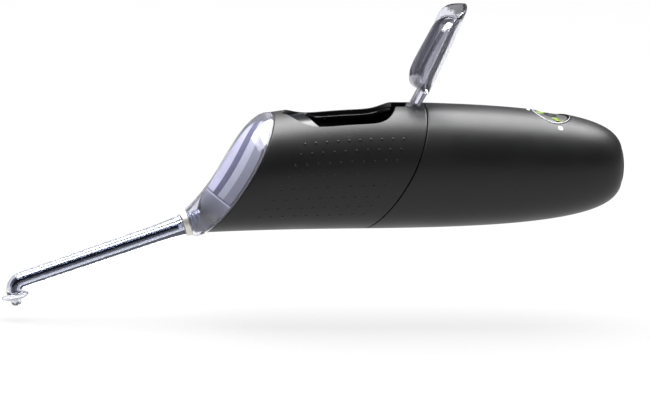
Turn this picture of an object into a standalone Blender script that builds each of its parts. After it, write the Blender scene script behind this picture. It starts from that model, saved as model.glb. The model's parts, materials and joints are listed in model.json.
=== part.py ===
"""Cordless handheld water flosser, lying with its lid side up.

Metres. +X runs along the handle to its base, +Z to the lid side, -X to the nozzle.
The origin is the centre of the charging socket's flat floor in the base cap.
"""

import math

import bmesh
import bpy
from mathutils import Matrix, Vector

# Handle outline: half depths are measured from the handle axis, distances from the base end.
BODY_END_X = 0.0078
HALF_DEPTH = 0.02381
TAPER_LENGTH = 0.1391
TAPER_POWER = 3.43
END_POWER = 0.266
WIDTH_RATIO = 0.93
FRONT_WIDTH_LOSS = 0.7
FRONT_WIDTH_START = 0.100
BACK_DROP = 1.44
BACK_DROP_START = 0.080
BELLY_DROP = 0.41
BELLY_DROP_START = 0.100
SECTION_POWER = 2 / 2.14
AROUND = 32

# Slanted cuts of the handle: x at the axis, then slope and bend over one cut scale of height.
CUT_SCALE = 0.024
FRONT_CUT = (-0.13554, 0.01332, -0.00197)
SEAM_CUT = (-0.07602, 0.01135, -0.00398)

# Walls and gaps
WALL = 0.0018
GAP = 0.0003
HALF_GAP = GAP / 2
TANK_WALL = 0.0012

# Base cap with its charging socket
BASE_RIM_X = 0.0075
SOCKET_FLOOR_RADIUS = 0.0046
SOCKET_MOUTH_RADIUS = 0.0052
CAP_RADIUS = 0.0070
CAP_HOLE_RADIUS = 0.0073
CAP_FLANGE_RADIUS = 0.0090
CAP_LENGTH = 0.0090
SHELL_END_X = 0.0066
SHELL_END_WALL = 0.0020

# Fill opening and lid, which lies flush when closed
HINGE_X = -0.0734
HINGE_Z = 0.0214
LID_OPEN_ANGLE = math.radians(117.0)
OPENING_MIDDLE_X = -0.0990
# Leaf outlines about that middle: reach to the rear, reach to the front, half width, end powers
RECESS_LEAF = (0.0192, 0.0235, 0.0137, 6, 5)
LID_LEAF = (0.0186, 0.0188, 0.0134, 6, 7)
MOUTH_LEAF = (0.0189, 0.0148, 0.0126, 6, 6)
GASKET_LEAF = (0.0184, 0.0134, 0.0114, 6, 6)
GASKET_HOLE_LEAF = (0.0181, 0.0123, 0.0103, 6, 6)
TUB_LEAF = (0.0178, 0.0120, 0.0100, 6, 6)
TUB_POCKET_LEAF = (0.0168, 0.0110, 0.0090, 6, 6)
LEAF_ROOT = 0.7
LID_THICKNESS = 0.0015
TUB_BOTTOM_Z = 0.0147
TUB_WALL = 0.0010
GASKET_THICKNESS = 0.0008
LID_SKIN_X = (-0.060, -0.126)
SLOT_FRONT_X = -0.0840
SLOT_END_X = -0.0707
SLOT_HALF_WIDTH = 0.0042
SLOT_FLOOR_Z = 0.0194
RECESS_BOTTOM_Z = 0.010
ARM_FRONT_X = -0.0815
ARM_HALF_WIDTH = 0.0036
ARM_DEPTH = 0.0012
ARM_HEIGHT = 0.0013
KNUCKLE_RADIUS = 0.0019
PIN_RADIUS = 0.0008
PIN_HOLE_RADIUS = 0.00105
PIN_HALF_LENGTH = 0.0061
PIN_HOLE_HALF_LENGTH = 0.0062
LUG_X = (-0.0758, -0.0711)
LUG_Y = (0.0045, 0.0072)
LUG_BOTTOM_Z = 0.0186

# Reservoir: a deep part in front and a shallow part behind it, over the drive
TANK_REAR_X = -0.0770
TANK_FRONT_OFFSET = 0.0050
TANK_STEP_X = -0.0935
HIGH_FLOOR_Z = 0.0085
LOW_FLOOR_Z = -0.0055
SHELF_X = (-0.0775, -0.0700)
SHELF_Z = (0.0168, 0.0180)
SHELF_HALF_WIDTH = 0.0080

# Reaches of helper cutters, well outside the handle
CUTTER_HALF_WIDTH = 0.04
CUTTER_LOW_Z = -0.05
CUTTER_HIGH_Z = 0.030
CUTTER_FRONT_X = -0.17
CUTTER_REAR_X = -0.04

# Nozzle: the jet stem's axis in the middle plane
NOZZLE_TILT = math.radians(19.2)
RING_X = -0.1563
RING_Z = -0.0221
RING_LENGTH = 0.0022
RING_RADIUS = 0.0049
STEM_LENGTH = 0.0652
STEM_TIP_RADIUS = 0.00285
STEM_TAPER = 0.0005
STEM_FLARE = 0.00065
STEM_FLARE_SHARE = 0.16
STEM_BORE = 0.0014
WATER_TUBE_RADIUS = 0.0011
WATER_TUBE_BORE = 0.0006
BEND_RADIUS = 0.0040
JET_TILT = math.radians(13.6)
DISC_X = -0.2209
DISC_Z = -0.0499
DISC_RADIUS = 0.00525
DISC_THICKNESS = 0.0018
SHROUD_HALF_WIDTH = 0.0200
SHROUD_WALL = 0.0013
BULKHEAD_OFFSETS = (0.0045, 0.0025)
SPIGOT_FLANGE = 0.0034
SPIGOT_RADIUS = 0.0019
SPIGOT_BORE = 0.0010
SPIGOT_FRONT = 0.0056
SPIGOT_SHOULDER = 0.0118
SPIGOT_REAR = 0.0170

# Power button, on the back near the base
BUTTON_X = -0.0199
BUTTON_TILT = math.radians(8.2)
# An oval, wider across the handle: these are its half lengths, and the stretch gives its half widths.
BUTTON_STRETCH = 1.27
WELL_HOLE_RADIUS = 0.0075
WELL_RADIUS = 0.0072
WELL_BORE = 0.0066
WELL_BOTTOM = -0.0044
WELL_FLOOR = -0.0036
WELL_STEM_HOLE = 0.0018
BUTTON_RADIUS = 0.0063
BUTTON_DROP = 0.0010
CAP_BOTTOM = -0.0030
BUTTON_STEM_RADIUS = 0.0014
BUTTON_STEM_END = -0.0066
BUTTON_SKIN_X = (-0.0060, -0.0340)
LIGHT_RADIUS = 0.0009
LIGHT_SIDES = {"mode_light_guide": (-0.0046, 0.0), "charge_light_guide": (0.0004, -0.0062)}
LIGHT_RISE = 0.0001

# Trigger, flush in the belly
TRIGGER_X = -0.1120
TRIGGER_HALF_LENGTH = 0.0100
TRIGGER_HALF_WIDTH = 0.0060
TRIGGER_CORNER = 0.0030
TRIGGER_CUT_Z = (-0.030, -0.015)
TRIGGER_TOP_Z = -0.0190
TRIGGER_HOLLOW_Z = (-0.0222, -0.018)
TRIGGER_WEB_HALF_LENGTH = 0.0030

# Gear train across the handle, all axles along Y
MODULE = 0.0008
PRESSURE_ANGLE = math.radians(28.0)
BACKLASH = 0.00012
PINION_TEETH = 9
WHEEL_TEETH = 22
RACK_PINION_TEETH = 12
ADDENDUM = 0.8
DEDENDUM = 1.15
MOTOR_X = -0.0575
GEAR_Z = -0.0030
CENTRE_DISTANCE = MODULE * (PINION_TEETH + WHEEL_TEETH) / 2
IDLER_X = MOTOR_X - CENTRE_DISTANCE
DRIVE_X = IDLER_X - CENTRE_DISTANCE
RACK_PITCH_Z = GEAR_Z - MODULE * RACK_PINION_TEETH / 2
PLANE_A = (-0.0142, -0.0125)
PLANE_B = (-0.0164, -0.0147)
CHEEK_INNER_Y = 0.0103
CHEEK_OUTER_Y = 0.0118
AXLE_RADIUS = 0.0010
AXLE_CLEARANCE = 0.0002
MOTOR_SHAFT_RADIUS = 0.0010
MOTOR_HOLE_RADIUS = 0.0016
PINION_END_Y = -0.0080
SHAFT_END_Y = 0.0124
RACK_PINION_Y = (-0.0028, 0.0028)
OVERLAP = 0.001
SHAFT_RADIUS = 0.0020

# Pump, lying along the handle under the tank
PUMP_Z = -0.0120
PUMP_REAR_X = -0.0990
PUMP_FRONT_X = -0.1240
PUMP_RADIUS = 0.0048
PUMP_BORE = 0.0036
PUMP_END_WALL = 0.0014
ROD_RADIUS = 0.0016
VALVE_RADIUS = 0.0024
INLET_X = -0.1190
PISTON_FRONT_X = -0.1215
PISTON_LENGTH = 0.0042

# Circuit board and its screws
BOARD_X = (-0.0640, -0.0080)
BOARD_Z = (0.0070, 0.0082)
BOARD_HALF_WIDTH = 0.0105
SCREW_X = (-0.0110, -0.0610)
SCREW_Y = 0.0085

BLACK = (0.016, 0.016, 0.017)
DARK = (0.008, 0.008, 0.009)
GREY = (0.30, 0.31, 0.33)
MATERIALS = {
    "handle_black": (BLACK, 0.42, 0.0),
    "tank_black": (DARK, 0.30, 0.0),
    "smoke_clear": ((0.30, 0.31, 0.34), 0.08, 0.0),
    "nozzle_clear": ((0.72, 0.75, 0.86), 0.05, 0.0),
    "ring_metal": ((0.72, 0.69, 0.63), 0.32, 1.0),
    "grey_plastic": (GREY, 0.45, 0.0),
    "button_grey": ((0.16, 0.16, 0.165), 0.40, 0.0),
    "lit_green": ((0.45, 0.85, 0.05), 0.40, 0.0),
    "seal_rubber": ((0.05, 0.05, 0.055), 0.75, 0.0),
    "frame_white": ((0.75, 0.76, 0.76), 0.55, 0.0),
    "steel": ((0.62, 0.63, 0.65), 0.28, 1.0),
    "gear_plastic": ((0.82, 0.80, 0.72), 0.50, 0.0),
    "brass": ((0.78, 0.60, 0.25), 0.30, 1.0),
    "battery_wrap": ((0.05, 0.22, 0.45), 0.45, 0.0),
    "coil_copper": ((0.72, 0.36, 0.18), 0.35, 1.0),
    "ferrite": ((0.09, 0.09, 0.10), 0.70, 0.0),
    "board_green": ((0.03, 0.20, 0.09), 0.45, 0.0),
}


# ---------------------------------------------------------------- scene helpers
def clear_scene():
    for obj in list(bpy.data.objects):
        bpy.data.objects.remove(obj, do_unlink=True)
    for collection in list(bpy.data.collections):
        bpy.data.collections.remove(collection)


def new_collection(name):
    collection = bpy.data.collections.new(name)
    bpy.context.scene.collection.children.link(collection)
    return collection


def new_material(name):
    colour, roughness, metallic = MATERIALS[name]
    material = bpy.data.materials.new(name)
    material.use_nodes = True
    shader = material.node_tree.nodes["Principled BSDF"]
    shader.inputs["Base Color"].default_value = (*colour, 1.0)
    shader.inputs["Roughness"].default_value = roughness
    shader.inputs["Metallic"].default_value = metallic
    return material


clear_scene()
PARTS = new_collection("water_flosser")
CUTTERS = new_collection("cutters")
SLOTS = {name: new_material(name) for name in MATERIALS}


def add_object(name, mesh, material=None):
    """A part when it has a material, a hidden cutter when it has none."""
    obj = bpy.data.objects.new(name, mesh)
    if material:
        mesh.materials.append(SLOTS[material])
        mesh.shade_smooth()
        mesh.set_sharp_from_angle(angle=math.radians(35))
        PARTS.objects.link(obj)
    else:
        obj.hide_render = True
        obj.display_type = "WIRE"
        CUTTERS.objects.link(obj)
    return obj


def finish_mesh(name, bm):
    bmesh.ops.recalc_face_normals(bm, faces=bm.faces[:])
    mesh = bpy.data.meshes.new(name)
    bm.to_mesh(mesh)
    bm.free()
    return mesh


def placed(x, z, axis_angle):
    """A frame at (x, 0, z) whose local +Z points along axis_angle, counted from +X towards +Z."""
    return Matrix.Translation((x, 0, z)) @ Matrix.Rotation(math.pi / 2 - axis_angle, 4, "Y")


def rod_mesh(name, radius, start, end, sides=20, end_radius=None):
    """A straight round bar or cone between two points."""
    start, end = Vector(start), Vector(end)
    bm = bmesh.new()
    bmesh.ops.create_cone(
        bm,
        cap_ends=True,
        segments=sides,
        radius1=radius,
        radius2=radius if end_radius is None else end_radius,
        depth=(end - start).length,
    )
    turn = Vector((0, 0, 1)).rotation_difference(end - start).to_matrix().to_4x4()
    bmesh.ops.transform(bm, matrix=Matrix.Translation((start + end) / 2) @ turn, verts=bm.verts)
    return finish_mesh(name, bm)


def rod(name, material, radius, start, end, sides=20, end_radius=None):
    return add_object(name, rod_mesh(name, radius, start, end, sides, end_radius), material)


def box_mesh(name, low, high, bevel=0.0):
    low, high = Vector(low), Vector(high)
    bm = bmesh.new()
    bmesh.ops.create_cube(bm, size=1.0)
    bmesh.ops.scale(bm, vec=high - low, verts=bm.verts)
    bmesh.ops.translate(bm, vec=(low + high) / 2, verts=bm.verts)
    if bevel:
        upright = [e for e in bm.edges if abs(e.verts[0].co.z - e.verts[1].co.z) > 1e-6]
        bmesh.ops.bevel(bm, geom=upright, offset=bevel, segments=3, profile=0.5, affect="EDGES")
    return finish_mesh(name, bm)


def box(name, material, low, high, bevel=0.0):
    return add_object(name, box_mesh(name, low, high, bevel), material)


def turned(name, material, profile, frame, steps=28):
    """A profile of (radius, height) pairs turned round the frame's local Z axis."""
    bm = bmesh.new()
    points = [bm.verts.new((r, 0, h)) for r, h in profile]
    for first, second in zip(points, points[1:]):
        bm.edges.new((first, second))
    if profile[0][0] > 0 or profile[-1][0] > 0:
        bm.edges.new((points[-1], points[0]))
    bmesh.ops.spin(
        bm,
        geom=bm.verts[:] + bm.edges[:],
        cent=(0, 0, 0),
        axis=(0, 0, 1),
        angle=math.tau,
        steps=steps,
        use_merge=True,
    )
    bmesh.ops.remove_doubles(bm, verts=bm.verts, dist=1e-6)
    bmesh.ops.transform(bm, matrix=frame, verts=bm.verts)
    return add_object(name, finish_mesh(name, bm), material)


def prism(name, outline, z_low, z_high, material=None):
    """An upright prism over a flat outline of (x, y) points."""
    bm = bmesh.new()
    bottom = bm.faces.new([bm.verts.new((x, y, z_low)) for x, y in outline])
    lifted = bmesh.ops.extrude_face_region(bm, geom=[bottom])
    rise = [v for v in lifted["geom"] if isinstance(v, bmesh.types.BMVert)]
    bmesh.ops.translate(bm, vec=(0, 0, z_high - z_low), verts=rise)
    return add_object(name, finish_mesh(name, bm), material)


def plate_xz(name, outline, y_low, y_high, material=None):
    """A plate of constant thickness along Y over an outline of (x, z) points."""
    bm = bmesh.new()
    near = bm.faces.new([bm.verts.new((x, y_low, z)) for x, z in outline])
    lifted = bmesh.ops.extrude_face_region(bm, geom=[near])
    pushed = [v for v in lifted["geom"] if isinstance(v, bmesh.types.BMVert)]
    bmesh.ops.translate(bm, vec=(0, y_high - y_low, 0), verts=pushed)
    return add_object(name, finish_mesh(name, bm), material)


def combine(obj, other, operation):
    modifier = obj.modifiers.new(operation.lower(), "BOOLEAN")
    modifier.operation = operation
    modifier.object = other


def apply_modifiers(obj):
    graph = bpy.context.evaluated_depsgraph_get()
    mesh = bpy.data.meshes.new_from_object(obj.evaluated_get(graph))
    obj.modifiers.clear()
    obj.data = mesh


def carve(obj, *cutters):
    """Takes each hidden cutter out of the object."""
    for cutter in cutters:
        combine(obj, cutter, "DIFFERENCE")
    apply_modifiers(obj)


def join(obj, *others):
    for other in others:
        combine(obj, other, "UNION")
    apply_modifiers(obj)


# ---------------------------------------------------------------- handle outline
def half_depth(distance):
    left = max(1.0 - distance / TAPER_LENGTH, 0.0)
    return HALF_DEPTH * (1.0 - left**TAPER_POWER) ** END_POWER


def section(x, inset):
    """Half width, top and bottom of the handle at x, moved inwards by inset."""
    distance = max(BODY_END_X - x, 0.0002)
    half = half_depth(distance)
    top = half - BACK_DROP * max(distance - BACK_DROP_START, 0.0) ** 2
    bottom = -half - BELLY_DROP * max(distance - BELLY_DROP_START, 0.0) ** 2
    width = WIDTH_RATIO * half - FRONT_WIDTH_LOSS * max(distance - FRONT_WIDTH_START, 0.0) ** 2
    return width - inset, top - inset, bottom + inset


def section_point(x, angle, inset):
    width, top, bottom = section(x, inset)
    across = math.copysign(abs(math.cos(angle)) ** SECTION_POWER, math.cos(angle))
    upwards = math.copysign(abs(math.sin(angle)) ** SECTION_POWER, math.sin(angle))
    return width * across, (top + bottom) / 2 + (top - bottom) / 2 * upwards


def cut_x(cut, z):
    x, slope, bend = cut
    share = z / CUT_SCALE
    return x + slope * share + bend * share * share


def ring_points(x_at, inset, count=AROUND):
    """One loop round the handle, on the surface x = x_at(z)."""
    loop = []
    for step in range(count):
        angle = math.tau * (step + 0.5) / count
        x = x_at(0.0)
        for _ in range(25):
            y, z = section_point(x, angle, inset)
            x = x_at(z)
        loop.append(Vector((x, y, z)))
    return loop


def between(first, second, share):
    return lambda z: first(z) + (second(z) - first(z)) * share


def circle_points(x, radius, count=AROUND):
    turns = [math.tau * (step + 0.5) / count for step in range(count)]
    return [Vector((x, radius * math.cos(a), radius * math.sin(a))) for a in turns]


def loft(name, material, loops, closed):
    """Faces between loops: a closed wall, or a solid whose two ends are fans."""
    bm = bmesh.new()
    rings = [[bm.verts.new(point) for point in loop] for loop in loops]
    pairs = list(zip(rings, rings[1:]))
    if closed:
        pairs.append((rings[-1], rings[0]))
    for first, second in pairs:
        for i in range(len(first)):
            j = (i + 1) % len(first)
            bm.faces.new((first[i], first[j], second[j], second[i]))
    if not closed:
        for ring in (rings[0], rings[-1]):
            middle = bm.verts.new(sum((v.co for v in ring), Vector()) / len(ring))
            for i in range(len(ring)):
                bm.faces.new((ring[i], ring[(i + 1) % len(ring)], middle))
    return add_object(name, finish_mesh(name, bm), material)


def body_solid(name, rear_at, front_at, inset, shares, count=AROUND, material=None):
    """The solid handle between two slanted surfaces, moved inwards by inset."""
    loops = [ring_points(between(rear_at, front_at, share), inset, count) for share in shares]
    return loft(name, material, loops, closed=False)


def even_shares(count):
    return [step / count for step in range(count + 1)]


def leaf_outline(rear, front, half_width, rear_power, front_power):
    """A leaf-shaped outline in plan, round behind and drawn in towards the nozzle."""
    steps = 14
    upper = []
    for step in range(-steps, steps + 1):
        share = math.sin(math.pi / 2 * step / steps)
        if share >= 0:
            width = (1 - share**rear_power) ** LEAF_ROOT
            x = OPENING_MIDDLE_X + rear * share
        else:
            width = 1 - (-share) ** front_power
            x = OPENING_MIDDLE_X + front * share
        upper.append((x, half_width * width))
    lower = [(x, -y) for x, y in reversed(upper[1:-1])]
    return upper + lower


def flat(x):
    return lambda z: x


def seam_at(offset=0.0):
    return lambda z: cut_x(SEAM_CUT, z) + offset


def front_at(offset=0.0):
    return lambda z: cut_x(FRONT_CUT, z) + offset


# ---------------------------------------------------------------- handle and base
def build_rear_handle_shell():
    shares = [0.0, 0.006, 0.02, 0.045, 0.09, 0.16, 0.25, 0.36, 0.48, 0.62, 0.76, 0.89, 1.0]
    rear_outer = flat(SHELL_END_X)
    rear_inner = flat(SHELL_END_X - SHELL_END_WALL)
    seam = seam_at(HALF_GAP)
    loops = [ring_points(between(rear_outer, seam, s), 0.0) for s in shares]
    loops += [ring_points(between(rear_inner, seam, s), WALL) for s in reversed(shares)]
    loops.append(circle_points(SHELL_END_X - SHELL_END_WALL, CAP_HOLE_RADIUS))
    loops.append(circle_points(SHELL_END_X, CAP_HOLE_RADIUS))
    shell = loft("rear_handle_shell", "handle_black", loops, closed=True)
    profile = [(0, 0.004), (WELL_HOLE_RADIUS, 0.004), (WELL_HOLE_RADIUS, -0.0055), (0, -0.0055)]
    carve(shell, turned("cut_button_well", None, profile, oval_frame(), 32))


def build_base_cap():
    frame = Matrix.Rotation(math.pi / 2, 4, "Y")
    rim = BASE_RIM_X
    profile = [
        (0, 0),
        (SOCKET_FLOOR_RADIUS, 0),
        (SOCKET_MOUTH_RADIUS, rim),
        (CAP_RADIUS, rim),
        (CAP_RADIUS, rim - 0.0041),
        (CAP_FLANGE_RADIUS, rim - 0.0041),
        (CAP_FLANGE_RADIUS, rim - 0.0053),
        (CAP_RADIUS, rim - 0.0053),
        (CAP_RADIUS, rim - CAP_LENGTH),
        (0, rim - CAP_LENGTH),
    ]
    turned("base_cap", "handle_black", profile, frame, 24)
    seal_x = SHELL_END_X - SHELL_END_WALL - GAP
    seal = [(0.0074, seal_x), (0.0088, seal_x), (0.0088, seal_x - 0.0006), (0.0074, seal_x - 0.0006)]
    turned("base_seal_ring", "seal_rubber", seal, frame, 24)
    coil = [(0.0075, -0.0001), (0.0096, -0.0001), (0.0096, -0.0030), (0.0075, -0.0030)]
    turned("charging_coil", "coil_copper", coil, frame, 24)
    turned("coil_ferrite", "ferrite", [(0, -0.0034), (0.0096, -0.0034), (0.0096, -0.0044),
           (0, -0.0044)], frame, 24)


def build_front_housing():
    shares = [0.0, 0.06, 0.16, 0.28, 0.40, 0.52, 0.64, 0.76, 0.88, 0.96, 1.0]
    seam, front = seam_at(-HALF_GAP), front_at()
    loops = [ring_points(between(seam, front, s), 0.0) for s in shares]
    loops += [ring_points(between(seam, front, s), WALL) for s in reversed(shares)]
    housing = loft("front_housing", "handle_black", loops, closed=True)
    lugs = []
    for side in (1, -1):
        low_y, high_y = sorted((side * LUG_Y[0], side * LUG_Y[1]))
        lugs.append(box("lug", None, (LUG_X[0], low_y, LUG_BOTTOM_Z), (LUG_X[1], high_y, HINGE_Z)))
    join(housing, *lugs)
    recess = prism("cut_recess", leaf_outline(*RECESS_LEAF), RECESS_BOTTOM_Z, CUTTER_HIGH_Z)
    slot = box("cut_slot", None, (SLOT_FRONT_X, -SLOT_HALF_WIDTH, RECESS_BOTTOM_Z),
               (SLOT_END_X, SLOT_HALF_WIDTH, CUTTER_HIGH_Z))
    pin = hinge_rod("cut_pin", None, PIN_HOLE_RADIUS, PIN_HOLE_HALF_LENGTH)
    half_length = TRIGGER_HALF_LENGTH + GAP
    half_width = TRIGGER_HALF_WIDTH + GAP
    pad = box("cut_trigger", None, (TRIGGER_X - half_length, -half_width, TRIGGER_CUT_Z[0]),
              (TRIGGER_X + half_length, half_width, TRIGGER_CUT_Z[1]), TRIGGER_CORNER)
    carve(housing, recess, slot, pin, pad)


def hinge_rod(name, material, radius, half_length, sides=16):
    """A round bar on the lid's hinge axis."""
    near, far = (HINGE_X, -half_length, HINGE_Z), (HINGE_X, half_length, HINGE_Z)
    return rod(name, material, radius, near, far, sides)


def build_front_bulkhead():
    rear, front = (front_at(offset) for offset in BULKHEAD_OFFSETS)
    plate = body_solid("front_bulkhead", rear, front, WALL + GAP, even_shares(1), 40, "grey_plastic")
    hole = rod("cut_spigot", None, SPIGOT_FLANGE + 0.0002, nozzle_point(0.004), nozzle_point(0.030), 20)
    carve(plate, hole)


# ---------------------------------------------------------------- reservoir and lid
def side_block(name, x_low, x_high, z_low, z_high):
    """A cutter over the handle's whole width."""
    return box(name, None, (x_low, -CUTTER_HALF_WIDTH, z_low), (x_high, CUTTER_HALF_WIDTH, z_high))


def build_reservoir_tank():
    depth = WALL + GAP
    rear, front = flat(TANK_REAR_X), front_at(TANK_FRONT_OFFSET)
    tank = body_solid("reservoir_tank", rear, front, depth, even_shares(8), 40, "tank_black")
    rear, front = flat(TANK_REAR_X - TANK_WALL), front_at(TANK_FRONT_OFFSET + TANK_WALL)
    inner = body_solid("cut_tank_inner", rear, front, depth + TANK_WALL, even_shares(8), 40)
    under_rear = side_block("cut_under_rear", TANK_STEP_X, CUTTER_REAR_X, CUTTER_LOW_Z, HIGH_FLOOR_Z)
    under_all = side_block("cut_under_all", CUTTER_FRONT_X, CUTTER_REAR_X, CUTTER_LOW_Z, LOW_FLOOR_Z)
    carve(tank, under_rear, under_all)
    keep_rear = side_block("cut_keep_rear", TANK_STEP_X - TANK_WALL, CUTTER_REAR_X, CUTTER_LOW_Z,
                           HIGH_FLOOR_Z + TANK_WALL)
    keep_all = side_block("cut_keep_all", CUTTER_FRONT_X, CUTTER_REAR_X, CUTTER_LOW_Z,
                          LOW_FLOOR_Z + TANK_WALL)
    carve(inner, keep_rear, keep_all)
    mouth = prism("cut_mouth", leaf_outline(*MOUTH_LEAF), RECESS_BOTTOM_Z, CUTTER_HIGH_Z)
    carve(tank, inner, mouth)
    wide = SLOT_HALF_WIDTH + TANK_WALL
    trough = box("trough", None, (TANK_REAR_X - 0.0030, -wide, SLOT_FLOOR_Z - TANK_WALL),
                 (TANK_REAR_X - 0.0002, wide, SLOT_FLOOR_Z + TANK_WALL))
    join(tank, trough)
    slot = box("cut_arm_slot", None, (SLOT_FRONT_X, -SLOT_HALF_WIDTH, SLOT_FLOOR_Z),
               (SLOT_END_X, SLOT_HALF_WIDTH, CUTTER_HIGH_Z))
    carve(tank, slot)
    shelf = box("shelf", None, (SHELF_X[0], -SHELF_HALF_WIDTH, SHELF_Z[0]),
                (SHELF_X[1], SHELF_HALF_WIDTH, SHELF_Z[1]))
    join(tank, shelf)


def lid_skin(name, inset):
    """The handle's solid round the lid, for lid parts that follow the skin."""
    return body_solid(name, flat(LID_SKIN_X[0]), flat(LID_SKIN_X[1]), inset, even_shares(9), 48)


def cross(obj, other):
    """Keeps what the object and the hidden helper share."""
    combine(obj, other, "INTERSECT")
    apply_modifiers(obj)


def build_lid_plate():
    lid = prism("reservoir_lid", leaf_outline(*LID_LEAF), RECESS_BOTTOM_Z, CUTTER_HIGH_Z, "smoke_clear")
    cross(lid, lid_skin("cut_lid_outside", 0.0))
    carve(lid, lid_skin("cut_lid_below", LID_THICKNESS))
    arm = box("arm", None, (ARM_FRONT_X, -ARM_HALF_WIDTH, HINGE_Z - ARM_DEPTH),
              (HINGE_X, ARM_HALF_WIDTH, HINGE_Z + ARM_HEIGHT))
    knuckle = hinge_rod("knuckle", None, KNUCKLE_RADIUS, ARM_HALF_WIDTH + 0.0001, 20)
    join(lid, arm, knuckle)
    carve(lid, hinge_rod("cut_knuckle", None, PIN_HOLE_RADIUS, PIN_HOLE_HALF_LENGTH))
    return lid


def arm_room():
    return box("cut_arm_room", None, (ARM_FRONT_X - GAP, -ARM_HALF_WIDTH - GAP, HINGE_Z - ARM_DEPTH - GAP),
               (SLOT_END_X, ARM_HALF_WIDTH + GAP, CUTTER_HIGH_Z))


def build_lid_tub():
    tub = prism("lid_tub", leaf_outline(*TUB_LEAF), TUB_BOTTOM_Z, CUTTER_HIGH_Z, "smoke_clear")
    cross(tub, lid_skin("cut_tub_top", LID_THICKNESS + GAP))
    pocket = prism("cut_tub", leaf_outline(*TUB_POCKET_LEAF), TUB_BOTTOM_Z + TUB_WALL, CUTTER_HIGH_Z)
    carve(tub, pocket, arm_room())
    return tub


def build_lid_gasket():
    gasket = prism("lid_gasket", leaf_outline(*GASKET_LEAF), RECESS_BOTTOM_Z, CUTTER_HIGH_Z, "seal_rubber")
    cross(gasket, lid_skin("cut_gasket_top", LID_THICKNESS + GAP))
    low = lid_skin("cut_gasket_low", LID_THICKNESS + GAP + GASKET_THICKNESS)
    hole = prism("cut_gasket_hole", leaf_outline(*GASKET_HOLE_LEAF), RECESS_BOTTOM_Z, CUTTER_HIGH_Z)
    carve(gasket, low, hole, arm_room())
    return gasket


def build_lid():
    """The lid's parts are made closed, then swung open about the hinge pin by their parent empty."""
    hinge_rod("lid_hinge_pin", "steel", PIN_RADIUS, PIN_HALF_LENGTH)
    hinge = bpy.data.objects.new("lid_hinge", None)
    hinge.location = (HINGE_X, 0, HINGE_Z)
    PARTS.objects.link(hinge)
    for obj in (build_lid_plate(), build_lid_tub(), build_lid_gasket()):
        obj.data.transform(Matrix.Translation((-HINGE_X, 0, -HINGE_Z)))
        obj.parent = hinge
    hinge.rotation_euler = (0, LID_OPEN_ANGLE, 0)


# ---------------------------------------------------------------- nozzle
def nozzle_point(distance, offset=0.0):
    """A point on the stem's axis, distance back from the ring's rear face towards the handle."""
    along = Vector((math.cos(NOZZLE_TILT), 0, math.sin(NOZZLE_TILT)))
    return Vector((RING_X, offset, RING_Z)) + along * distance


def nozzle_frame():
    """Local +Z runs along the stem's axis towards the handle, from the ring's rear face."""
    return placed(RING_X, RING_Z, NOZZLE_TILT)


def stem_path():
    """Centre line of the stem: straight from the ring, then bent round to the jet's direction."""
    jet = Vector((math.sin(JET_TILT), 0, -math.cos(JET_TILT)))
    along = Vector((-math.cos(NOZZLE_TILT), 0, -math.sin(NOZZLE_TILT)))
    disc = Vector((DISC_X, 0, DISC_Z))
    start = nozzle_point(-RING_LENGTH - GAP)
    gap = start - disc
    cross = along.x * jet.z - along.z * jet.x
    up = (along.x * gap.z - along.z * gap.x) / cross
    corner = disc + jet * up
    turn = math.acos(along.dot(jet))
    tangent = BEND_RADIUS * math.tan(turn / 2)
    first = corner - along * tangent
    centre = first + Vector((along.z, 0, -along.x)) * -BEND_RADIUS
    points = [start.lerp(first, share) for share in (0, 0.03, 0.08, 0.2, 0.5, 0.8)]
    steps = 6
    for step in range(steps + 1):
        spin = Matrix.Rotation(-turn * step / steps, 4, "Y")
        points.append(centre + spin @ (first - centre))
    points.append(disc - jet * (DISC_THICKNESS / 2 + GAP))
    return points


def stem_radius(share):
    """Thick at the ring, then a slow taper to the bend."""
    flare = max(0.0, 1 - share / STEM_FLARE_SHARE) ** 2
    return STEM_TIP_RADIUS + STEM_TAPER * (1 - share) + STEM_FLARE * flare


def swept(name, material, points, radii, bore=0.0, sides=16):
    """A round tube along a path in the middle plane, with its own radius at each point."""
    length = [0.0]
    for first, second in zip(points, points[1:]):
        length.append(length[-1] + (second - first).length)
    loops, inner = [], []
    for i, point in enumerate(points):
        ahead = points[min(i + 1, len(points) - 1)] - points[max(i - 1, 0)]
        ahead.normalize()
        side = Vector((0, 1, 0))
        up = ahead.cross(side)
        radius = radii(length[i] / length[-1])
        turns = [math.tau * (step + 0.5) / sides for step in range(sides)]
        loops.append([point + (side * math.cos(a) + up * math.sin(a)) * radius for a in turns])
        inner.append([point + (side * math.cos(a) + up * math.sin(a)) * bore for a in turns])
    if bore:
        return loft(name, material, loops + inner[::-1], closed=True)
    return loft(name, material, loops, closed=False)


def build_stem_and_tip():
    path = stem_path()
    swept("nozzle_stem", "nozzle_clear", path, stem_radius, STEM_BORE)
    swept("nozzle_inner_tube", "nozzle_clear", path[1:-1], lambda share: WATER_TUBE_RADIUS,
          WATER_TUBE_BORE, 8)
    jet = Vector((math.sin(JET_TILT), 0, -math.cos(JET_TILT)))
    frame = placed(DISC_X, DISC_Z, math.atan2(jet.z, jet.x))
    half = DISC_THICKNESS / 2
    profile = [(0.0008, -half), (0.0040, -half), (0.0049, -half * 0.5), (DISC_RADIUS, 0.1 * half),
               (0.0049, half * 0.7), (0.0040, half), (0.0008, half)]
    turned("guidance_tip", "nozzle_clear", profile, frame, 24)
    low = half + GAP
    nib = [(0.0006, low), (0.0019, low), (0.0019, low + 0.0018), (0.0014, low + 0.0024),
           (0.0006, low + 0.0024)]
    turned("jet_nib", "nozzle_clear", nib, frame, 16)


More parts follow.
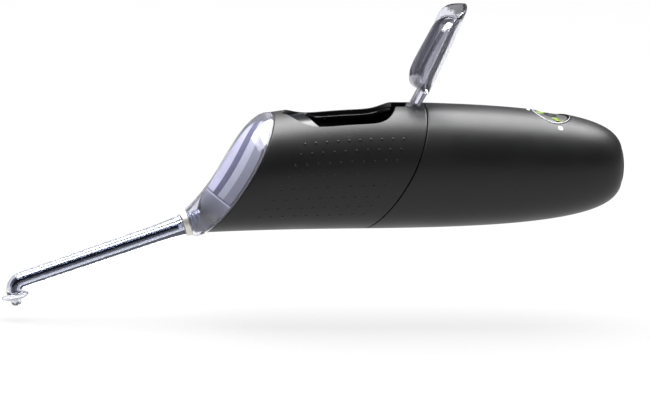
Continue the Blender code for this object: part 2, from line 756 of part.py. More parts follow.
def shroud_loops(inset, count):
    """Loops that sweep from the handle's front cut round to the circle behind the ring."""
    top_knots = [Vector((-0.1262, 0, 0.0207)), Vector((-0.1389, 0, 0.0201)),
                 Vector((-0.1363, 0, 0.0018)), Vector((-0.1578, 0, -0.0171))]
    bottom_knots = [Vector((-0.1500, 0, -0.0262)), Vector((-0.1515, 0, -0.0268)),
                    Vector((-0.1530, 0, -0.0272)), Vector((-0.1546, 0, -0.0269))]
    base = ring_points(front_at(-GAP), inset, count)
    loops = []
    for share in (0.0, 0.12, 0.26, 0.42, 0.58, 0.74, 0.88, 1.0):
        top, bottom = bezier(top_knots, share), bezier(bottom_knots, share)
        middle, reach = (top + bottom) / 2, (top - bottom) / 2
        half_width = SHROUD_HALF_WIDTH + (RING_RADIUS - SHROUD_HALF_WIDTH) * share**0.8
        tight = 1 - inset / reach.length
        loop = []
        for step in range(count):
            angle = math.tau * (step + 0.5) / count
            side = Vector((0, (half_width - inset) * math.cos(angle), 0))
            point = middle + reach * tight * math.sin(angle) + side
            fade = (1 - share) ** 3
            loop.append(point.lerp(base[step], fade))
        loops.append(loop)
    return loops


def bezier(knots, share):
    first, second, third, fourth = knots
    rest = 1 - share
    return (first * rest**3 + second * (3 * share * rest**2)
            + third * (3 * share**2 * rest) + fourth * share**3)


def build_nozzle_base():
    outer = shroud_loops(0.0, 32)
    inner = shroud_loops(SHROUD_WALL, 32)
    loft("nozzle_shroud", "nozzle_clear", outer + inner[::-1], closed=True)
    frame = nozzle_frame()
    ring = [(0.0026, 0), (RING_RADIUS, 0), (RING_RADIUS - 0.0005, -RING_LENGTH), (0.0026, -RING_LENGTH)]
    turned("nozzle_ring", "ring_metal", ring, frame, 24)
    socket = [(0.0008, 0.0004), (0.0032, 0.0004), (0.0032, 0.0028), (0.0028, 0.0040), (0.0028, 0.0080),
              (0.0022, 0.0080), (0.0022, 0.0052), (0.0008, 0.0052)]
    turned("nozzle_socket", "grey_plastic", socket, frame, 16)


# ---------------------------------------------------------------- power button
def button_frame():
    """Local +Z is the surface's outward normal at the middle of the button."""
    _, top, _ = section(BUTTON_X, 0.0)
    return placed(BUTTON_X, top, math.pi / 2 - BUTTON_TILT)


def oval_frame():
    """The button's frame, stretched across the handle, so that a round turning comes out oval."""
    return button_frame() @ Matrix.Diagonal((1, BUTTON_STRETCH, 1, 1))


def button_skin(name, inset):
    """The handle's solid round the button, for tops that follow the skin."""
    return body_solid(name, flat(BUTTON_SKIN_X[0]), flat(BUTTON_SKIN_X[1]), inset, even_shares(6), 64)


def build_power_button():
    over = 0.002
    well = [(WELL_BORE, over), (WELL_RADIUS, over), (WELL_RADIUS, WELL_BOTTOM), (WELL_STEM_HOLE, WELL_BOTTOM),
            (WELL_STEM_HOLE, WELL_FLOOR), (WELL_BORE, WELL_FLOOR)]
    bezel = turned("power_button_bezel", "tank_black", well, oval_frame(), 32)
    cross(bezel, button_skin("cut_bezel_top", GAP))
    button = turned("power_button", "button_grey", [(0, over), (BUTTON_RADIUS, over),
                    (BUTTON_RADIUS, CAP_BOTTOM), (BUTTON_STEM_RADIUS, CAP_BOTTOM),
                    (BUTTON_STEM_RADIUS, BUTTON_STEM_END), (0, BUTTON_STEM_END)], oval_frame(), 32)
    cross(button, button_skin("cut_button_top", BUTTON_DROP))
    holes = []
    frame = button_frame()
    for name, (x, y) in LIGHT_SIDES.items():
        below, low, high = (frame @ Vector((x, y, z)) for z in (CAP_BOTTOM - over, CAP_BOTTOM + GAP, over))
        guide = rod(name, "lit_green", LIGHT_RADIUS, low, high, 14)
        cross(guide, button_skin("cut_" + name, BUTTON_DROP - LIGHT_RISE))
        holes.append(rod("cut_hole_" + name, None, LIGHT_RADIUS + GAP, below, high, 14))
    carve(button, *holes)


# ---------------------------------------------------------------- trigger
def build_trigger():
    trigger = box("trigger_button", "handle_black",
                  (TRIGGER_X - TRIGGER_HALF_LENGTH, -TRIGGER_HALF_WIDTH, TRIGGER_CUT_Z[0]),
                  (TRIGGER_X + TRIGGER_HALF_LENGTH, TRIGGER_HALF_WIDTH, TRIGGER_TOP_Z), TRIGGER_CORNER)
    reach = 2 * TRIGGER_HALF_LENGTH
    cross(trigger, body_solid("cut_trigger_outside", flat(TRIGGER_X + reach), flat(TRIGGER_X - reach),
                              0.0, even_shares(5), 48))
    hollows = []
    for side in (1, -1):
        near, far = TRIGGER_X + side * TRIGGER_WEB_HALF_LENGTH, TRIGGER_X + side * TRIGGER_HALF_LENGTH * 1.2
        hollows.append(side_block("cut_trigger_hollow", min(near, far), max(near, far), *TRIGGER_HOLLOW_Z))
    carve(trigger, *hollows)
    web = TRIGGER_WEB_HALF_LENGTH
    box("trigger_switch", "ferrite", (TRIGGER_X - web, -web, -0.0179), (TRIGGER_X + web, web, -0.0171))


# ---------------------------------------------------------------- drive and pump
def involute(angle):
    return math.tan(angle) - angle


def gear_outline(teeth, centre_x, centre_z, tooth_angle):
    """A stub involute gear with one tooth pointing along tooth_angle."""
    pitch = MODULE * teeth / 2
    base = pitch * math.cos(PRESSURE_ANGLE)
    tip = pitch + ADDENDUM * MODULE
    root = pitch - DEDENDUM * MODULE
    start = max(base, root)
    half_pitch = math.pi / (2 * teeth) - BACKLASH / pitch

    def half_angle(radius):
        pressure = math.acos(min(1.0, base / radius))
        return max(half_pitch + involute(PRESSURE_ANGLE) - involute(pressure), 0.02)

    foot = half_angle(start)
    flank = [(root, foot), (start, foot), (pitch, half_pitch), (tip, half_angle(tip))]
    if start - root < 1e-6:
        flank = flank[1:]
    outline = []
    for tooth in range(teeth):
        middle = tooth_angle + math.tau * tooth / teeth
        for radius, spread in flank:
            outline.append((radius, middle - spread))
        for radius, spread in reversed(flank):
            outline.append((radius, middle + spread))
    return [(centre_x + r * math.cos(a), centre_z + r * math.sin(a)) for r, a in outline]


def cross_rod(name, radius, x, y_low, y_high, material=None, sides=20):
    """A round bar across the handle, on one of the gear axles."""
    return rod(name, material, radius, (x, y_low, GEAR_Z), (x, y_high, GEAR_Z), sides)


def gear(name, teeth, x, tooth_angle, plane, material=None):
    return plate_xz(name, gear_outline(teeth, x, GEAR_Z, tooth_angle), *plane, material)


def build_gears():
    space_turn = math.pi / WHEEL_TEETH
    pinion = gear("motor_pinion", PINION_TEETH, MOTOR_X, math.pi, PLANE_A, "brass")
    join(pinion, cross_rod("pinion_shaft", MOTOR_SHAFT_RADIUS, MOTOR_X, PLANE_A[1] - OVERLAP, PINION_END_Y))
    idler = gear("idler_gear", WHEEL_TEETH, IDLER_X, space_turn, PLANE_A, "gear_plastic")
    small_plane = (PLANE_B[0], PLANE_A[0] + OVERLAP / 2)
    join(idler, gear("idler_small", PINION_TEETH, IDLER_X, math.pi, small_plane))
    carve(idler, cross_rod("cut_idler", AXLE_RADIUS + AXLE_CLEARANCE, IDLER_X, -0.018, -0.010, sides=16))
    cross_rod("idler_axle", AXLE_RADIUS, IDLER_X, -0.0166, -CHEEK_INNER_Y, "steel", 16)
    drive = gear("drive_gear", WHEEL_TEETH, DRIVE_X, space_turn, PLANE_B, "gear_plastic")
    shaft = cross_rod("drive_shaft", SHAFT_RADIUS, DRIVE_X, PLANE_B[1] - OVERLAP, SHAFT_END_Y)
    rack_pinion = gear("rack_pinion", RACK_PINION_TEETH, DRIVE_X, -math.pi / 2, RACK_PINION_Y)
    join(drive, shaft, rack_pinion)


def rack_outline(front_x, rear_x, back_z):
    """A straight rack with a space under the drive shaft."""
    pitch = math.pi * MODULE
    lean = math.tan(PRESSURE_ANGLE)
    high, low = ADDENDUM * MODULE, DEDENDUM * MODULE
    half = pitch / 4 - BACKLASH
    outline = [(front_x, back_z)]
    first = math.ceil((front_x - DRIVE_X) / pitch - 0.5) + 1
    last = math.floor((rear_x - DRIVE_X) / pitch - 0.5) - 1
    outline.append((front_x, RACK_PITCH_Z - low))
    for tooth in range(first, last + 1):
        middle = DRIVE_X + (tooth + 0.5) * pitch
        outline.append((middle - half - low * lean, RACK_PITCH_Z - low))
        outline.append((middle - half + high * lean, RACK_PITCH_Z + high))
        outline.append((middle + half - high * lean, RACK_PITCH_Z + high))
        outline.append((middle + half + low * lean, RACK_PITCH_Z - low))
    outline.append((rear_x, RACK_PITCH_Z - low))
    outline.append((rear_x, back_z))
    return outline


def build_pump():
    frame = Matrix.Translation((PUMP_FRONT_X, 0, PUMP_Z)) @ Matrix.Rotation(math.pi / 2, 4, "Y")
    length = PUMP_REAR_X - PUMP_FRONT_X
    wall = PUMP_END_WALL
    cylinder = [(0.0008, 0), (PUMP_RADIUS, 0), (PUMP_RADIUS, length), (0.0020, length),
                (0.0020, length - wall), (PUMP_BORE, length - wall), (PUMP_BORE, wall), (0.0008, wall)]
    turned("pump_cylinder", "frame_white", cylinder, frame, 20)
    head = PISTON_FRONT_X - PUMP_FRONT_X
    rack_front = PUMP_REAR_X + 0.0020
    piston = [(0, head), (0.0033, head), (0.0033, head + 0.0012), (0.0026, head + 0.0012),
              (0.0026, head + 0.0026), (0.0033, head + 0.0026), (0.0033, head + PISTON_LENGTH),
              (ROD_RADIUS, head + PISTON_LENGTH), (ROD_RADIUS, rack_front + 0.002 - PUMP_FRONT_X),
              (0, rack_front + 0.002 - PUMP_FRONT_X)]
    body = turned("pump_piston", "gear_plastic", piston, frame, 16)
    join(body, plate_xz("rack", rack_outline(rack_front, -0.0785, PUMP_Z - 0.0012), -0.0020, 0.0020))
    seal = [(0.0028, head + 0.0014), (0.0035, head + 0.0014), (0.0035, head + 0.0024),
            (0.0028, head + 0.0024)]
    turned("piston_seal", "seal_rubber", seal, frame, 16)
    outlet = [(0, -GAP), (VALVE_RADIUS, -GAP), (VALVE_RADIUS, -0.0030), (0, -0.0030)]
    turned("outlet_valve", "seal_rubber", outlet, frame, 20)
    rod("inlet_valve", "seal_rubber", 0.0018, (INLET_X, 0, PUMP_Z + PUMP_RADIUS + 0.0002),
        (INLET_X, 0, LOW_FLOOR_Z - GAP), 16)
    build_pump_spring()
    front_x = PUMP_FRONT_X - 0.0033
    path = [Vector((front_x, 0, PUMP_Z)), Vector((front_x - 0.0015, 0, PUMP_Z)),
            nozzle_point(0.0285) + Vector((0.0004, 0, 0)), nozzle_point(0.0240),
            nozzle_point(SPIGOT_REAR + GAP)]
    swept("delivery_tube", "seal_rubber", path, lambda share: 0.0015, 0.0, 12)
    spigot = [(SPIGOT_BORE, SPIGOT_FRONT), (SPIGOT_RADIUS, SPIGOT_FRONT), (SPIGOT_RADIUS, SPIGOT_SHOULDER),
              (SPIGOT_FLANGE, SPIGOT_SHOULDER), (SPIGOT_FLANGE, SPIGOT_REAR - 0.0006),
              (SPIGOT_BORE, SPIGOT_REAR - 0.0006)]
    turned("outlet_spigot", "grey_plastic", spigot, nozzle_frame(), 24)


def build_pump_spring():
    """A return spring round the piston rod, between the head and the cylinder's rear wall."""
    turns, per_turn, wire, radius = 4, 9, 0.00035, 0.0026
    start = PISTON_FRONT_X + PISTON_LENGTH + wire + 0.0002
    end = PUMP_REAR_X - PUMP_END_WALL - wire - 0.0002
    curve = bpy.data.curves.new("pump_spring", "CURVE")
    curve.dimensions = "3D"
    curve.bevel_depth = wire
    curve.bevel_resolution = 1
    curve.use_fill_caps = True
    spline = curve.splines.new("POLY")
    count = turns * per_turn + 1
    spline.points.add(count - 1)
    for i, point in enumerate(spline.points):
        angle = math.tau * i / per_turn
        x = start + (end - start) * i / (count - 1)
        point.co = (x, radius * math.cos(angle), PUMP_Z + radius * math.sin(angle), 1)
    curve.materials.append(SLOTS["steel"])
    PARTS.objects.link(bpy.data.objects.new("pump_spring", curve))


# ---------------------------------------------------------------- chassis and electrics
def build_chassis():
    chassis = box("chassis", "frame_white", (-0.0915, -0.0118, 0.0052), (-0.0062, 0.0118, 0.0066))
    cheeks = [
        box("cheek", None, (-0.0915, min(side * CHEEK_INNER_Y, side * CHEEK_OUTER_Y), -0.0110),
            (-0.0490, max(side * CHEEK_INNER_Y, side * CHEEK_OUTER_Y), 0.0060))
        for side in (1, -1)
    ]
    join(chassis, *cheeks)
    room = box("cut_rack_pinion", None, (DRIVE_X - 0.0062, -0.0040, 0.0), (DRIVE_X + 0.0062, 0.0040, 0.010))
    holes = [
        cross_rod("cut_drive_holes", SHAFT_RADIUS + GAP, DRIVE_X, -0.020, 0.020),
        cross_rod("cut_motor_hole", MOTOR_HOLE_RADIUS, MOTOR_X, -0.020, -0.009),
        cross_rod("cut_axle_hole", AXLE_RADIUS + GAP, IDLER_X, -0.020, -0.009, sides=16),
    ]
    carve(chassis, room, *holes)


def build_motor():
    frame = Matrix.Translation((MOTOR_X, 0, GEAR_Z)) @ Matrix.Rotation(math.pi / 2, 4, "X")
    can = [(0.0013, 0.0100), (0.0072, 0.0100), (0.0072, -0.0095), (0, -0.0095), (0, 0.0070), (0.0013, 0.0070)]
    turned("motor_case", "steel", can, frame, 24)


def build_electrics():
    rod("battery_cell", "battery_wrap", 0.0070, (-0.0065, 0, -0.0040), (-0.0472, 0, -0.0040), 24)
    box("battery_tab_rear", "steel", (-0.0060, -0.0030, -0.0090), (-0.0055, 0.0030, 0.0045))
    box("battery_tab_front", "steel", (-0.0481, -0.0030, -0.0090), (-0.0476, 0.0030, 0.0045))
    board = box("circuit_board", "board_green", (BOARD_X[0], -BOARD_HALF_WIDTH, BOARD_Z[0]),
                (BOARD_X[1], BOARD_HALF_WIDTH, BOARD_Z[1]))
    corners = [(x, side * SCREW_Y) for x in SCREW_X for side in (-1, 1)]
    holes = []
    for number, (x, y) in enumerate(corners, 1):
        hole = rod("cut_board_%d" % number, None, 0.0013, (x, y, 0.0040), (x, y, 0.0100), 16)
        holes.append(hole)
        frame = Matrix.Translation((x, y, BOARD_Z[1] + GAP))
        screw = [(0, 0.0010), (0.0018, 0.0010), (0.0018, 0), (0.0010, 0), (0.0010, -0.0030), (0, -0.0030)]
        turned("board_screw_%d" % number, "steel", screw, frame, 16)
    carve(board, *holes)
    carve(bpy.data.objects["chassis"], *holes)
    switch_x = BUTTON_X - 0.0015
    box("power_switch", "ferrite", (switch_x - 0.003, -0.003, 0.0085), (switch_x + 0.003, 0.003, 0.0120))


build_rear_handle_shell()
build_base_cap()
build_front_housing()
build_front_bulkhead()
build_reservoir_tank()
build_lid()
build_stem_and_tip()
build_nozzle_base()
build_power_button()
build_trigger()
build_gears()
build_pump()
build_chassis()
build_motor()
build_electrics()
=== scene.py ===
"""Fine shapes and finishes of a cordless water flosser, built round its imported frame.

Metres. +X runs along the handle to its base, +Z to the lid side, -X to the nozzle.
The handle's outline is worked out again here, so that the fine skins lie on the frame's own surface.
"""

import json
import math

import bmesh
import bpy
from mathutils import Matrix, Vector
from mathutils.bvhtree import BVHTree


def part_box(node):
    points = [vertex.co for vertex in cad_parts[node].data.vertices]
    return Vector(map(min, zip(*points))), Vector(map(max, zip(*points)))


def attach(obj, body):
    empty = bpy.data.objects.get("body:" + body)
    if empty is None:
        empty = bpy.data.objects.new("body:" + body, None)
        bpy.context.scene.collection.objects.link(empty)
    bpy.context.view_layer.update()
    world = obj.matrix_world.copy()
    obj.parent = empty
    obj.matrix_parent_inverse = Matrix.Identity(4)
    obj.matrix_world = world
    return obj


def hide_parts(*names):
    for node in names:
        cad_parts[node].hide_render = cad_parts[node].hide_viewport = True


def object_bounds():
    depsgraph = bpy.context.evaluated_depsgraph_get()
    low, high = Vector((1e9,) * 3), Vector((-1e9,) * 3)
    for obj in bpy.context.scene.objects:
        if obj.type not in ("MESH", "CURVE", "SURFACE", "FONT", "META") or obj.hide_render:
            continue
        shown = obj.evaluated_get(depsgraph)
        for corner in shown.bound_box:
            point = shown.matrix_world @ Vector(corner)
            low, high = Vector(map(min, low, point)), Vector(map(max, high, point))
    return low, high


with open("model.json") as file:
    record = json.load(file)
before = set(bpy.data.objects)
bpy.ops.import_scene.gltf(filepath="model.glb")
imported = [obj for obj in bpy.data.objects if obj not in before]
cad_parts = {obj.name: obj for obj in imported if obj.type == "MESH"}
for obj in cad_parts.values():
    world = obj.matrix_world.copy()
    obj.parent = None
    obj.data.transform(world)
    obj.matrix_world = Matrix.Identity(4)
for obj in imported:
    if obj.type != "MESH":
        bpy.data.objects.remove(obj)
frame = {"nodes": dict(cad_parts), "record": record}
NODES = frame["nodes"]
FRAME_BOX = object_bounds()

# Handle outline: half depths from the handle axis, distances from the base end
BODY_END_X = 0.0078
HALF_DEPTH = 0.02381
TAPER_LENGTH = 0.1391
TAPER_POWER = 3.43
END_POWER = 0.266
WIDTH_RATIO = 0.93
FRONT_WIDTH_LOSS = 0.7
FRONT_WIDTH_START = 0.100
BACK_DROP = 1.44
BACK_DROP_START = 0.080
BELLY_DROP = 0.41
BELLY_DROP_START = 0.100
SECTION_POWER = 2 / 2.14

# Slanted cuts of the handle: x at the axis, then slope and bend over one cut scale of height
CUT_SCALE = 0.024
FRONT_CUT = (-0.13554, 0.01332, -0.00197)
SEAM_CUT = (-0.07602, 0.01135, -0.00398)

# Walls, gaps and edge roundings
WALL = 0.0018
GAP = 0.0003
HALF_GAP = GAP / 2
SHELL_END_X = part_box("rear_handle_shell")[1].x
END_WALL = 0.0020
CAP_HOLE_RADIUS = 0.0073
SEAM_ROUND = 0.00035
AROUND = 144

# Fill opening
OPENING_MIDDLE_X = -0.0990
RECESS = dict(middle=OPENING_MIDDLE_X, rear=0.0192, front=0.0235, half_width=0.0137, powers=(6, 5))
LID = dict(middle=OPENING_MIDDLE_X, rear=0.0186, front=0.0188, half_width=0.0134, powers=(6, 7))
MOUTH = dict(middle=OPENING_MIDDLE_X, rear=0.0189, front=0.0148, half_width=0.0126, powers=(6, 6))
TUB = dict(middle=OPENING_MIDDLE_X, rear=0.0178, front=0.0120, half_width=0.0100, powers=(6, 6))
SLOT_HALF_WIDTH = 0.0042
SLOT_FRONT_X = -0.0840
SLOT_END_X = -0.0707
SLOT_FLOOR_Z = 0.0194
TANK_WALL = 0.0012

# Lid, made closed and then swung open about its hinge pin
HINGE = (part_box("lid_hinge_pin")[0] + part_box("lid_hinge_pin")[1]) / 2
LID_OPEN = math.radians(117.0)
LID_THICKNESS = 0.0015

# Nozzle: the stem's axis lies in the middle plane
NOZZLE_TILT = math.radians(19.2)
RING_CENTRE = Vector((-0.1563, 0, -0.0221))
RING_LENGTH = 0.0022
RING_RADIUS = 0.0049
STEM_TIP_RADIUS = 0.00285
STEM_TAPER = 0.0005
STEM_FLARE = 0.00065
STEM_FLARE_SHARE = 0.16
STEM_BORE = 0.0014
BEND_RADIUS = 0.0040
JET_TILT = math.radians(13.6)
DISC_CENTRE = Vector((-0.2209, 0, -0.0499))
DISC_RADIUS = 0.00525
DISC_THICKNESS = 0.0018

# Power button
BUTTON_X = -0.0199
BUTTON_TILT = math.radians(8.2)
# An oval, wider across the handle: these are its half lengths, and the stretch gives its half widths
BUTTON_STRETCH = 1.27
WELL_RADIUS = 0.0072
WELL_BORE = 0.0066
WELL_BOTTOM = -0.0044
WELL_FLOOR = -0.0036
WELL_STEM_HOLE = 0.0018
BUTTON_RADIUS = 0.0063
BUTTON_DROP = 0.0006
CAP_BOTTOM = -0.0030
BUTTON_STEM_RADIUS = 0.0014
BUTTON_STEM_END = -0.0066

# Trigger pad in the belly
TRIGGER_X = -0.1120
TRIGGER_HALF_LENGTH = 0.0100
TRIGGER_HALF_WIDTH = 0.0060

JET = Vector((math.sin(JET_TILT), 0, -math.cos(JET_TILT)))
STEM_WAY = Vector((-math.cos(NOZZLE_TILT), 0, -math.sin(NOZZLE_TILT)))


# ---------------------------------------------------------------- finishes
def principled(name):
    material = bpy.data.materials.new(name)
    material.use_nodes = True
    return material, material.node_tree.nodes, material.node_tree.links


def preset(node, values):
    for socket, value in values.items():
        node.inputs[socket].default_value = value


def grain_place(nodes, links, stretch=(1, 1, 1), turn=(0, 0, 0)):
    """Object coordinates, stretched and turned for a grain that runs one way."""
    where = nodes.new("ShaderNodeTexCoord")
    mapping = nodes.new("ShaderNodeMapping")
    preset(mapping, {"Scale": stretch, "Rotation": turn})
    links.new(where.outputs["Object"], mapping.inputs["Vector"])
    return mapping.outputs["Vector"]


def noise(nodes, links, place, scale, detail=3.0):
    node = nodes.new("ShaderNodeTexNoise")
    preset(node, {"Scale": scale, "Detail": detail})
    links.new(place, node.inputs["Vector"])
    return node.outputs["Fac"]


def colour_ramp(nodes, links, value, stops):
    ramp = nodes.new("ShaderNodeValToRGB")
    while len(ramp.color_ramp.elements) < len(stops):
        ramp.color_ramp.elements.new(0.5)
    for element, (position, colour) in zip(ramp.color_ramp.elements, stops):
        element.position = position
        element.color = (*colour, 1.0)
    links.new(value, ramp.inputs["Fac"])
    return ramp.outputs["Color"]


def spread(nodes, links, value, low, high):
    """The noise's middle part, stretched to run from low to high."""
    node = nodes.new("ShaderNodeMapRange")
    preset(node, {"From Min": 0.3, "From Max": 0.7, "To Min": low, "To Max": high})
    links.new(value, node.inputs["Value"])
    return node.outputs["Result"]


def add_bump(nodes, links, height, depth, strength):
    bump = nodes.new("ShaderNodeBump")
    preset(bump, {"Distance": depth, "Strength": strength})
    links.new(height, bump.inputs["Height"])
    links.new(bump.outputs["Normal"], nodes["Principled BSDF"].inputs["Normal"])


def moulded(name, colour, roughness, grain=0.00025, shade=0.12, metallic=0.0, specular=0.5,
            stretch=(1, 1, 1), turn=(0, 0, 0), strength=0.35):
    """Opaque plastic, rubber or metal with a fine surface grain and a slow play of tone and gloss."""
    material, nodes, links = principled(name)
    shader = nodes["Principled BSDF"]
    preset(shader, {"Metallic": metallic, "Specular IOR Level": specular})
    place = grain_place(nodes, links, stretch, turn)
    slow = noise(nodes, links, place, 60.0, 4.0)
    fine = noise(nodes, links, place, 1.0 / grain, 2.0)
    darker = tuple(c * (1 - shade) for c in colour)
    lighter = tuple(min(c * (1 + shade), 1.0) for c in colour)
    tone = colour_ramp(nodes, links, slow, ((0.3, darker), (0.7, lighter)))
    links.new(tone, shader.inputs["Base Color"])
    gloss = spread(nodes, links, slow, roughness - GLOSS_PLAY, roughness + GLOSS_PLAY)
    links.new(gloss, shader.inputs["Roughness"])
    add_bump(nodes, links, fine, GRAIN_DEPTH, strength)
    return material


GLOSS_PLAY = 0.04
GRAIN_DEPTH = 0.000006


def clear_plastic(name, colour, roughness, ior=1.46, haze=0.0, specular=0.5):
    """Transparent moulding: faint flow waves in its surface, a slight drift of tint and a little haze."""
    material, nodes, links = principled(name)
    shader = nodes["Principled BSDF"]
    preset(shader, {"Transmission Weight": 1.0 - haze, "IOR": ior, "Specular IOR Level": specular})
    waves = noise(nodes, links, grain_place(nodes, links), 1.0 / FLOW_RIPPLE, 1.0)
    darker = tuple(c * (1 - FLOW_SHADE) for c in colour)
    tone = colour_ramp(nodes, links, waves, ((0.35, darker), (0.65, colour)))
    links.new(tone, shader.inputs["Base Color"])
    gloss = spread(nodes, links, waves, roughness, roughness + 0.02)
    links.new(gloss, shader.inputs["Roughness"])
    add_bump(nodes, links, waves, FLOW_DEPTH, 0.15)
    return material


FLOW_RIPPLE = 0.0035
FLOW_SHADE = 0.03
FLOW_DEPTH = 0.00002


def glowing(name, colour, strength):
    """A lit window with a faint diffuser grain."""
    material, nodes, links = principled(name)
    shader = nodes["Principled BSDF"]
    preset(shader, {"Roughness": 0.35, "Emission Strength": strength})
    specks = noise(nodes, links, grain_place(nodes, links), 2500.0, 2.0)
    dimmer = tuple(c * 0.8 for c in colour)
    unlit, paler = (tuple(c * share for c in colour) for share in (0.04, 0.06))
    links.new(colour_ramp(nodes, links, specks, ((0.3, unlit), (0.7, paler))), shader.inputs["Base Color"])
    tone = colour_ramp(nodes, links, specks, ((0.3, dimmer), (0.7, colour)))
    links.new(tone, shader.inputs["Emission Color"])
    return material


def wound_copper(name):
    """Fine copper wire, wound side by side round the socket."""
    material = moulded(name, (0.72, 0.36, 0.18), 0.32, metallic=1.0)
    nodes, links = material.node_tree.nodes, material.node_tree.links
    waves = nodes.new("ShaderNodeTexWave")
    waves.bands_direction = "X"
    waves.inputs["Scale"].default_value = 900.0
    links.new(grain_place(nodes, links), waves.inputs["Vector"])
    add_bump(nodes, links, waves.outputs["Fac"], 0.00008, 0.9)
    return material


def circuit_lacquer(name):
    """Green lacquer over a grid of paler tracks."""
    material = moulded(name, (0.03, 0.20, 0.09), 0.35)
    nodes, links = material.node_tree.nodes, material.node_tree.links
    tracks = nodes.new("ShaderNodeTexBrick")
    preset(tracks, {"Scale": 180.0, "Mortar Size": 0.035, "Color1": (0.02, 0.16, 0.07, 1),
                    "Color2": (0.03, 0.20, 0.09, 1), "Mortar": (0.12, 0.38, 0.16, 1)})
    links.new(grain_place(nodes, links), tracks.inputs["Vector"])
    links.new(tracks.outputs["Color"], nodes["Principled BSDF"].inputs["Base Color"])
    return material


def shroud_liner_painted_light(name):
    """The liner's face: painted shade and painted highlight as soft grey bands that run with the crest, over
    a throat of painted shade below a divider.
    """
    material, nodes, links = principled(name)
    shader = nodes["Principled BSDF"]
    preset(shader, {"Roughness": 0.50, "Specular IOR Level": 0.05})
    uv = nodes.new("ShaderNodeUVMap")
    uv.uv_map = "across_and_down"
    split = nodes.new("ShaderNodeSeparateXYZ")
    links.new(uv.outputs["UV"], split.inputs["Vector"])
    bands = colour_ramp(nodes, links, split.outputs["X"], SHROUD_PAINTED_BANDS)
    throat = colour_ramp(nodes, links, split.outputs["Y"], SHROUD_PAINTED_THROAT)
    below = nodes.new("ShaderNodeMath")
    below.operation = "GREATER_THAN"
    below.inputs[1].default_value = DIVIDER_LEVEL
    links.new(split.outputs["Y"], below.inputs[0])
    mix = nodes.new("ShaderNodeMix")
    mix.data_type = "RGBA"
    links.new(below.outputs[0], mix.inputs[0])
    links.new(bands, mix.inputs[6])
    links.new(throat, mix.inputs[7])
    links.new(mix.outputs[2], shader.inputs["Base Color"])
    add_bump(nodes, links, noise(nodes, links, grain_place(nodes, links), 900.0), 0.00001, 0.2)
    return material


# Painted light on the liner: a painted highlight along the crest, bands of painted shade and light, and
# painted shade at the cut
PAINTED_HIGHLIGHT_WHITE = (0.80, 0.80, 0.95)
PAINTED_SHADE_VIOLET = (0.10, 0.10, 0.22)
PAINTED_LIT_BAND = (0.62, 0.64, 0.72)
PAINTED_MID_SHADE = (0.30, 0.31, 0.37)
PAINTED_EDGE_SHADE = (0.010, 0.010, 0.012)
# Painted bands from the crest to the handle's cut: painted highlight, painted shade, a painted lit band,
# painted mid shade, painted shade at the cut
SHROUD_PAINTED_BANDS = ((0.0, PAINTED_HIGHLIGHT_WHITE), (0.13, PAINTED_HIGHLIGHT_WHITE), (0.15, PAINTED_SHADE_VIOLET), (0.38, PAINTED_SHADE_VIOLET),
                (0.40, PAINTED_LIT_BAND), (0.64, PAINTED_LIT_BAND), (0.66, PAINTED_MID_SHADE), (0.925, PAINTED_MID_SHADE),
                (0.935, PAINTED_EDGE_SHADE))
# Painted shade down from the divider, which lies at half height of the map, with a painted highlight line
# just below the divider
DIVIDER_LEVEL = 0.5
DIVIDER_SPAN = 0.030
SHROUD_PAINTED_THROAT = ((0.5, (0.06, 0.06, 0.14)), (0.512, (0.06, 0.06, 0.14)), (0.518, PAINTED_HIGHLIGHT_WHITE),
                 (0.53, PAINTED_HIGHLIGHT_WHITE), (0.54, PAINTED_MID_SHADE), (0.68, (0.20, 0.21, 0.25)),
                 (0.80, (0.07, 0.07, 0.09)), (0.93, (0.20, 0.21, 0.27)))

HANDLE_BLACK = moulded("handle_satin_black", (0.0065, 0.0065, 0.0067), 0.42, specular=0.36)
TANK_BLACK = moulded("tank_gloss_black", (0.004, 0.004, 0.0045), 0.22, specular=0.4)
SMOKE = clear_plastic("lid_smoke_clear", (0.46, 0.46, 0.49), 0.04)
LID_SMOKE = clear_plastic("lid_plate_smoke", (0.27, 0.27, 0.29), 0.03, haze=0.02)
LID_CLEAR = clear_plastic("lid_arm_clear", (0.84, 0.84, 0.93), 0.03, haze=0.06)
CLEAR = clear_plastic("shroud_clear", (0.92, 0.92, 0.99), 0.02, haze=0.05, specular=0.15)
TIP_CLEAR = clear_plastic("tip_clear", (0.92, 0.93, 0.99), 0.02, haze=0.28)
STEM_CLEAR = clear_plastic("stem_clear", (0.58, 0.61, 0.70), 0.02)
TUBE_CLEAR = clear_plastic("water_tube_clear", (0.10, 0.11, 0.15), 0.04)
COLLAR_SLATE = moulded("collar_slate", (0.17, 0.20, 0.29), 0.30)
RING_SILVER = moulded("ring_brushed_silver", (0.74, 0.71, 0.65), 0.42, grain=0.00012, metallic=0.8,
                      stretch=(1.0, 0.06, 0.06), turn=(0, -NOZZLE_TILT, 0), strength=0.5)
NOSE_GREY = moulded("nose_dark_grey", (0.06, 0.062, 0.068), 0.40)
BUTTON_GREY = moulded("button_grey", (0.030, 0.030, 0.032), 0.40)
# Pale grey for the button well's rim: a painted highlight
PAINTED_RIM_HIGHLIGHT = moulded("button_rim_painted_highlight", (0.30, 0.30, 0.30), 0.30)
MARK_WHITE = moulded("mark_white", (0.80, 0.80, 0.78), 0.45)
MARK_BLACK = moulded("mark_black", (0.004, 0.004, 0.004), 0.60, specular=0.15)
LIT_GREEN = glowing("lit_green", (0.42, 0.66, 0.015), 0.9)
SILICONE = clear_plastic("lid_seal_silicone", (0.80, 0.80, 0.84), 0.25, ior=1.41)
